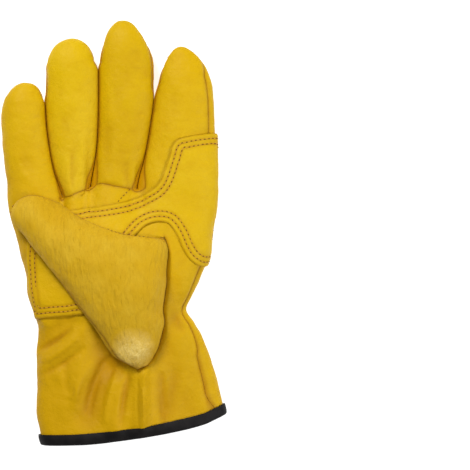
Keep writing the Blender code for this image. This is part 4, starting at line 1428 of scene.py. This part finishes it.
def napped_leather(name, colour, deep, pale):
    """The thumb's rougher leather: fine short wrinkles up and down, a spot worn pale, and painted shade
    at its seams and rim and towards the lower left.
    """
    finish = Finish(name)
    streaks = finish.noise(1, 2.0, 0.5, 0.4, finish.place_with("MULTIPLY", STREAK_SCALES, "Vector"))
    mottle = finish.noise(60, 4.0, 0.6)
    fine = finish.noise(1100, 3.0, 0.65)
    along = finish.place_with("DOT_PRODUCT", PAINTED_SHADE_WAY, "Value")
    tone = finish.turned(colour, pale, mottle, 0.38, 0.68)
    # Painted shade: the tone darkens towards the lower left
    tone = finish.turned(tone, deep, along, *PAINTED_SHADE_SPAN, 0.4)
    tone = finish.mix(NAP_DEPTH, tone, deep)
    tone = finish.turned(tone, deep, streaks, 0.45, 0.75, 0.32)
    tone = finish.turned(tone, deep, fine, 0.5, 0.8, 0.25)
    away = finish.place_with("DISTANCE", WORN_SPOT, "Value")
    spot = finish.ramp(away, WORN_REACH, 0.25 * WORN_REACH)
    spot = finish.math("MULTIPLY", spot, finish.ramp(fine, 0.35, 0.6, 0.4, 0.9))
    patchy = finish.ramp(finish.noise(170, 3.0, 0.6), 0.4, 0.6, 0.6, 1.0)
    spot = finish.math("MULTIPLY", spot, patchy)
    tone = finish.mix(spot, tone, WORN_COLOUR)
    # Painted shade at the thumb's seams and round the rim of its opening
    tone = finish.turned(tone, PAINTED_SHADE_COLOUR, finish.attribute("painted_shade"), 0.0, 1.0, 0.9)
    nap = finish.bump(fine, 0.8, 0.0003, finish.bump(streaks, 1.0, 0.0011))
    finish.give(Base_Color=tone, Roughness=0.72, Specular_IOR_Level=0.15, Normal=nap)
    finish.give(Sheen_Weight=0.1, Sheen_Roughness=0.5, Sheen_Tint=linear(255, 225, 120))
    return finish.material


def edging_tape(name):
    """Black leathery edging with a dull shine."""
    finish = Finish(name)
    tone = finish.turned(linear(14, 12, 12), linear(26, 23, 22), finish.noise(120), 0.4, 0.7)
    grain = finish.bump(finish.noise(900, 3.0, 0.6), 0.6, 0.0002)
    finish.give(Base_Color=tone, Roughness=0.6, Specular_IOR_Level=0.18, Normal=grain)
    return finish.material


def plain_finish(name, colour, roughness, glow=0.0):
    """A material of one colour, which may glow white a little."""
    finish = Finish(name)
    finish.give(Base_Color=colour, Roughness=roughness)
    if glow:
        finish.give(Emission_Color=(1, 1, 1, 1), Emission_Strength=glow)
    return finish.material


def add_object(name, data):
    """A new object of the scene."""
    thing = bpy.data.objects.new(name, data)
    bpy.context.scene.collection.objects.link(thing)
    return thing


def place_piece(name, mesh, material, node=None):
    """Puts a finished mesh into the scene as one named piece, in place of its solid."""
    data = mesh
    if isinstance(mesh, bmesh.types.BMesh):
        data = bpy.data.meshes.new(name)
        mesh.to_mesh(data)
        mesh.free()
    data.name = name
    data.shade_smooth()
    if node:
        data.set_sharp_from_angle(angle=math.radians(SHARP_ANGLE))
    data.materials.clear()
    data.materials.append(material)
    piece = add_object(name, data)
    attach(piece, "root")
    if node:
        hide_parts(node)
    return piece


def stitch_tree():
    """Nodes that lay short arched stitches along a line, each across or along it."""
    tree = bpy.data.node_groups.new("row_of_stitches", "GeometryNodeTree")
    face = tree.interface
    face.new_socket("Geometry", in_out="INPUT", socket_type="NodeSocketGeometry")
    for name in ("Pitch", "Shift", "Length", "Thickness", "Arch", "Turn"):
        face.new_socket(name, in_out="INPUT", socket_type="NodeSocketFloat")
    face.new_socket("Material", in_out="INPUT", socket_type="NodeSocketMaterial")
    face.new_socket("Geometry", in_out="OUTPUT", socket_type="NodeSocketGeometry")

    def add(kind, **settings):
        node = tree.nodes.new(kind)
        for name, value in settings.items():
            setattr(node, name, value)
        return node

    def feed(node, **inputs):
        for name, source in inputs.items():
            socket = node.inputs[name.replace("_", " ")]
            if isinstance(source, bpy.types.NodeSocket):
                tree.links.new(source, socket)
            else:
                socket.default_value = source
        return node

    def times(value, factor):
        node = add("ShaderNodeMath", operation="MULTIPLY")
        tree.links.new(value, node.inputs[0])
        node.inputs[1].default_value = factor
        return node.outputs[0]

    def corner(x, z):
        node = add("ShaderNodeCombineXYZ")
        tree.links.new(x, node.inputs["X"])
        tree.links.new(z, node.inputs["Z"])
        return node.outputs["Vector"]

    given = add("NodeGroupInput").outputs
    line = feed(add("GeometryNodeMeshToCurve"), Mesh=given["Geometry"])
    even = add("GeometryNodeResampleCurve", mode="LENGTH")
    feed(even, Curve=line.outputs[0], Length=given["Pitch"])
    bow = feed(
        add("GeometryNodeCurveQuadraticBezier"),
        Resolution=6,
        Start=corner(times(given["Length"], -0.5), times(given["Arch"], -1)),
        Middle=corner(times(given["Length"], 0.0), times(given["Arch"], 1.6)),
        End=corner(times(given["Length"], 0.5), times(given["Arch"], -1)),
    )
    circle = add("GeometryNodeCurvePrimitiveCircle")
    feed(circle, Resolution=6, Radius=times(given["Thickness"], 0.5))
    thread = add("GeometryNodeCurveToMesh")
    feed(thread, Curve=bow.outputs[0], Profile_Curve=circle.outputs[0], Fill_Caps=True)
    smooth = feed(add("GeometryNodeSetShadeSmooth"), Geometry=thread.outputs[0])
    moved = feed(add("GeometryNodeTransform"), Geometry=smooth.outputs[0])
    shift = add("ShaderNodeCombineXYZ")
    tree.links.new(given["Shift"], shift.inputs["X"])
    tree.links.new(shift.outputs[0], moved.inputs["Translation"])
    facing = add("GeometryNodeInputNamedAttribute", data_type="FLOAT_VECTOR")
    facing.inputs["Name"].default_value = "facing"
    first = add("FunctionNodeAlignRotationToVector", axis="X")
    tree.links.new(add("GeometryNodeInputTangent").outputs[0], first.inputs["Vector"])
    second = add("FunctionNodeAlignRotationToVector", axis="Z", pivot_axis="X")
    tree.links.new(first.outputs[0], second.inputs["Rotation"])
    tree.links.new(facing.outputs[0], second.inputs["Vector"])
    turn = add("FunctionNodeAxisAngleToRotation")
    turn.inputs["Axis"].default_value = (0, 0, 1)
    tree.links.new(given["Turn"], turn.inputs["Angle"])
    turned = add("FunctionNodeRotateRotation", rotation_space="LOCAL")
    tree.links.new(second.outputs[0], turned.inputs["Rotation"])
    tree.links.new(turn.outputs[0], turned.inputs["Rotate By"])
    spots = feed(
        add("GeometryNodeInstanceOnPoints"),
        Points=even.outputs[0],
        Instance=moved.outputs[0],
        Rotation=turned.outputs[0],
    )
    real = feed(add("GeometryNodeRealizeInstances"), Geometry=spots.outputs[0])
    dressed = feed(add("GeometryNodeSetMaterial"), Geometry=real.outputs[0], Material=given["Material"])
    tree.links.new(dressed.outputs[0], add("NodeGroupOutput").inputs["Geometry"])
    return tree


def row_mesh(lines):
    """A mesh of joined points for stitch rows. Each point comes with the way its surface faces."""
    points, facings, edges = [], [], []
    for line, closed in lines:
        first = len(points)
        points += [point for point, _ in line]
        facings += [normal for _, normal in line]
        edges += [(first + k, first + k + 1) for k in range(len(line) - 1)]
        if closed:
            edges.append((first + len(line) - 1, first))
    data = bpy.data.meshes.new("stitch_line")
    data.from_pydata(points, edges, [])
    attribute = data.attributes.new("facing", "FLOAT_VECTOR", "POINT")
    attribute.data.foreach_set("vector", np.array(facings, dtype=np.float32).ravel())
    return data


def stitch_piece(name, lines, tree, material, slot, **sizes):
    """A plain mesh of the stitches along these lines."""
    holder = add_object(name, row_mesh(lines))
    modifier = holder.modifiers.new("stitches", "NODES")
    modifier.node_group = tree
    inputs = {i.name: i.identifier for i in tree.interface.items_tree if i.in_out == "INPUT"}
    for name_of, value in sizes.items():
        modifier[inputs[name_of.capitalize()]] = value
    modifier[inputs["Material"]] = material
    graph = bpy.context.evaluated_depsgraph_get()
    data = bpy.data.meshes.new_from_object(holder.evaluated_get(graph))
    bpy.data.objects.remove(holder)
    return place_piece(name, data, material)


def chain(edges):
    """These edges' vertices as lines, each in order along its way."""
    left = {}
    for edge in edges:
        for vert in edge.verts:
            left.setdefault(vert, set()).add(edge)
    lines = []
    unused = set(edges)

    def walk(start):
        line = [start]
        while True:
            ahead = [edge for edge in left[line[-1]] if edge in unused]
            if not ahead or (len(line) > 1 and len(left[line[-1]]) != 2):
                return line
            unused.discard(ahead[0])
            line.append(ahead[0].other_vert(line[-1]))

    ends = sorted((v for v in left if len(left[v]) != 2), key=lambda v: v.index)
    for vert in ends:
        while any(edge in unused for edge in left[vert]):
            lines.append(walk(vert))
    for edge in sorted(unused, key=lambda e: e.verts[0].index):
        if edge in unused:
            lines.append(walk(edge.verts[0]))
    return lines


def raised_tree(skin, lift=0.0, relief=None):
    """A search tree over a skin's faces, raised along their normals."""
    relief = np.zeros(len(skin.mesh.verts)) if relief is None else relief
    points = [vert.co + vert.normal * (lift + relief[vert.index]) for vert in skin.mesh.verts]
    return BVHTree.FromPolygons(points, [[v.index for v in face.verts] for face in skin.mesh.faces])


def inset_lines(skin, distance, surface):
    """The closed line that runs a distance inside a skin's border, laid on the surface."""
    steps = stand_back(skin.mesh.faces[:], 1.0)
    tree = point_tree([vert.co for vert in skin.mesh.verts if vert.is_boundary])
    underside = raised_tree(skin)
    border = chain(skin.rims())[0]
    line = []
    for vert in border[:-1]:
        place = vert.co.copy()
        for _ in range(4):
            place += steps[vert].normalized() * distance / 4
            place, facing, _, _ = underside.find_nearest(place)
        if tree.find(place)[2] > 0.95 * distance:
            near, normal, _, _ = surface.find_nearest(place + facing * PATCH_LEATHER)
            line.append((near, normal))
    return line


def on_surface(points, surface):
    """A line given by photo-plane points in shares, dropped onto the surface from above."""
    line = []
    for (x1, y1), (x2, y2) in zip(points, points[1:]):
        for k in range(DROP_STEPS):
            share = k / DROP_STEPS
            x, y = plan_point(blend(x1, x2, share), blend(y1, y2, share))
            hit, normal, _, _ = surface.ray_cast(Vector((x, y, DROP_HEIGHT)), Vector((0, 0, -1)))
            if hit:
                line.append((hit, normal))
    return line


# Colours. All leather takes a share of its deeper tone, and more of it towards the lower left as painted
# shade;
# hollows, seams and grooves turn darker orange as painted shade, and the stitch holes are dark painted
# shade; the thumb has fine streaks, as scales in x, y and z, and a spot that is worn pale
PAINTED_SHADE_COLOUR = linear(150, 92, 4)
FLESH_COLOUR = linear(222, 196, 118)
FLESH_SHADE = linear(200, 168, 88)
WORN_COLOUR = linear(248, 222, 138)
PAINTED_SHADE_WAY = (-0.6, -0.8, 0.0)
PAINTED_SHADE_SPAN = (-0.06, 0.05)
GRAIN_DEPTH = 0.7
NAP_DEPTH = 0.5
STREAK_SCALES = (520, 150, 350)
WORN_SPOT = (0.0138, -0.0250, 0.034)
WORN_REACH = 0.0165
THREAD_COLOUR = linear(200, 146, 8)
# Stitch holes and the short stitch marks of the thumb and palm seams are dark pieces of painted shade
HOLE_SHADE_COLOUR = linear(104, 56, 0)

# Each leather's colour, its deeper and its paler tone
FORK_COLOURS = (linear(214, 168, 4), linear(190, 138, 0), linear(224, 182, 16))
LEATHERS = {
    # piece: colour, deeper, paler
    "palm": (linear(226, 192, 2), linear(198, 152, 0), linear(238, 209, 30)),
    "back": (linear(226, 191, 2), linear(198, 152, 0), linear(237, 207, 30)),
    "ring_front": (linear(230, 199, 14), linear(202, 160, 0), linear(242, 214, 54)),
    "middle_front": (linear(223, 190, 0), linear(196, 152, 0), linear(230, 198, 4)),
    "little_ring_fork": FORK_COLOURS,
    "ring_middle_fork": FORK_COLOURS,
    "middle_index_fork": FORK_COLOURS,
    "palm_patch": (linear(224, 193, 8), linear(204, 160, 2), linear(232, 205, 34)),
}
THUMB_COLOURS = (linear(218, 178, 22), linear(184, 138, 6), linear(230, 196, 54))

# How a line is dropped onto a surface: steps between two of its places, and the height to start at
DROP_STEPS = 8
DROP_HEIGHT = 0.2

# The palm's short slanting seam, as places along it
PALM_SEAM = [(0.079, 0.993), (0.055, 0.972), (0.028, 0.946)]

# The stitching inside the thumb's upper edge
THUMB_SEAM = [(-0.052, 0.858), (0.005, 0.833), (0.070, 0.818), (0.186, 0.808)]

hand, rows, runs = make_hand_skin()
corners = {key(vert.co): vert for vert in hand.mesh.verts}
press_hand(hand)
pressed = [tuple([corners[key(p)].co.copy() for p in run] for run in pair) for pair in runs]

pieces = {}
for name in HAND_PANELS:
    pieces[name] = leather_mesh(hand, name, LEATHER, SEAM_GAP / 2)
binding = make_binding(rows, runs, corners)

patch = make_patch_skin(surface_tree([hand.mesh]))
relief = patch_relief(patch)
pieces["palm_patch"] = leather_mesh(patch, "palm_patch", PATCH_LEATHER, 0.0, PATCH_LEATHER, relief)
pieces["palm_patch"].normal_update()
patch_surface = raised_tree(patch, PATCH_LEATHER, relief)
thumb = make_thumb_skin(rows, pressed, surface_tree([hand.mesh, pieces["palm_patch"]]))

for name in HAND_PANELS + ["palm_patch"]:
    dress = grain_leather(name + "_leather", *LEATHERS[name])
    place_piece(name + "_leather", pieces[name], dress, name)
dress = napped_leather("thumb_leather", *THUMB_COLOURS)
for name in thumb.panels:
    mesh = leather_mesh(thumb, name, LEATHER, SEAM_GAP / 2)
    place_piece(name + "_leather", mesh, dress, name)
tape = edging_tape("edging_tape")
place_piece("cuff_edging", binding, tape, "cuff_binding")

tree = stitch_tree()
thread = plain_finish("thread", THREAD_COLOUR, 0.6)
# A dark finish that stands for the painted shade of the stitch holes
hole_shade = plain_finish("stitch_hole_shade", HOLE_SHADE_COLOUR, 0.9)
patch_rows = [(inset_lines(patch, row, patch_surface), True) for row in STITCH_ROWS]
stitch_piece(
    "patch_stitches", patch_rows, tree, thread, "patch_leather",
    pitch=STITCH_PITCH, length=0.0018, thickness=0.00055, arch=0.00014,
)
# Dark pieces of painted shade in the stitch holes between the stitches
stitch_piece(
    "patch_stitch_hole_shade", patch_rows, tree, hole_shade, "patch_leather",
    pitch=STITCH_PITCH, shift=STITCH_PITCH / 2, length=0.0009, thickness=0.0006, arch=0.00004,
)

seam_lines = []
for line in chain(hand.seams()):
    seam_lines.append(([(vert.co - vert.normal * 0.0003, vert.normal) for vert in line], False))
stitch_piece(
    "seam_stitches", seam_lines, tree, thread, "grain_leather",
    pitch=0.0028, length=0.0013, thickness=0.0004, arch=0.00012, turn=math.pi / 2,
)
thumb_surface = raised_tree(thumb)
# The thumb's seam is drawn as dark stitch marks of painted shade
stitch_piece(
    "thumb_stitch_shade", [(on_surface(THUMB_SEAM, thumb_surface), False)], tree, hole_shade,
    "thumb_leather", pitch=0.0024, length=0.0010, thickness=0.0004, arch=0.00008,
)
hand_surface = surface_tree([hand.mesh])
# The palm's short seam is drawn as dark stitch marks of painted shade
stitch_piece(
    "palm_seam_stitch_shade", [(on_surface(PALM_SEAM, hand_surface), False)], tree, hole_shade,
    "grain_leather", pitch=0.0021, length=0.0011, thickness=0.0004, arch=0.00008,
)

# The floor, the light and the camera
FLOOR_SIZE = 3
FLOOR_GAP = 0.0001
floor_mesh = bpy.data.meshes.new("floor")
floor_corners = [(FLOOR_SIZE * x, FLOOR_SIZE * y, 0) for x, y in ((-1, -1), (1, -1), (1, 1), (-1, 1))]
floor_mesh.from_pydata(floor_corners, [], [(0, 1, 2, 3)])
floor_mesh.materials.append(plain_finish("pale_floor", (0.6, 0.6, 0.6, 1), 0.9, 0.8))
floor = add_object("floor", floor_mesh)
floor.location.z = -FLOOR_GAP


def area_light(name, place, size, power):
    """A white round light, placed from the picture's centre and turned to it."""
    data = bpy.data.lights.new(name, "AREA")
    data.shape = "DISK"
    data.size = size
    data.energy = power
    lamp = add_object(name, data)
    lamp.location = CENTRE + Vector(place)
    lamp.rotation_euler = (-Vector(place)).to_track_quat("-Z", "Y").to_euler()


CENTRE = Vector((0.0713, 0.0438, 0.0))
area_light("high_light", (-0.36, 0.62, 0.82), 0.3, 8.6)
area_light("side_light", (0.62, -0.2, 0.8), 0.5, 5.9)

world = bpy.data.worlds.new("studio")
world.use_nodes = True
world.node_tree.nodes["Background"].inputs["Color"].default_value = (1, 1, 1, 1)
world.node_tree.nodes["Background"].inputs["Strength"].default_value = 0.20
bpy.context.scene.world = world

# The camera looks straight down, and takes in VIEW_WIDTH at VIEW_HEIGHT over the floor
VIEW_WIDTH = 0.2726
VIEW_HEIGHT = 0.015
lens = bpy.data.cameras.new("camera")
lens.lens = 135
lens.sensor_width = 36
lens.clip_start = 0.01
camera = add_object("camera", lens)
camera.location = CENTRE + Vector((0, 0, VIEW_WIDTH * lens.lens / lens.sensor_width + VIEW_HEIGHT))
bpy.context.scene.camera = camera
bpy.context.scene.view_settings.view_transform = "Standard"

for skin in (hand, patch, thumb):
    skin.mesh.free()
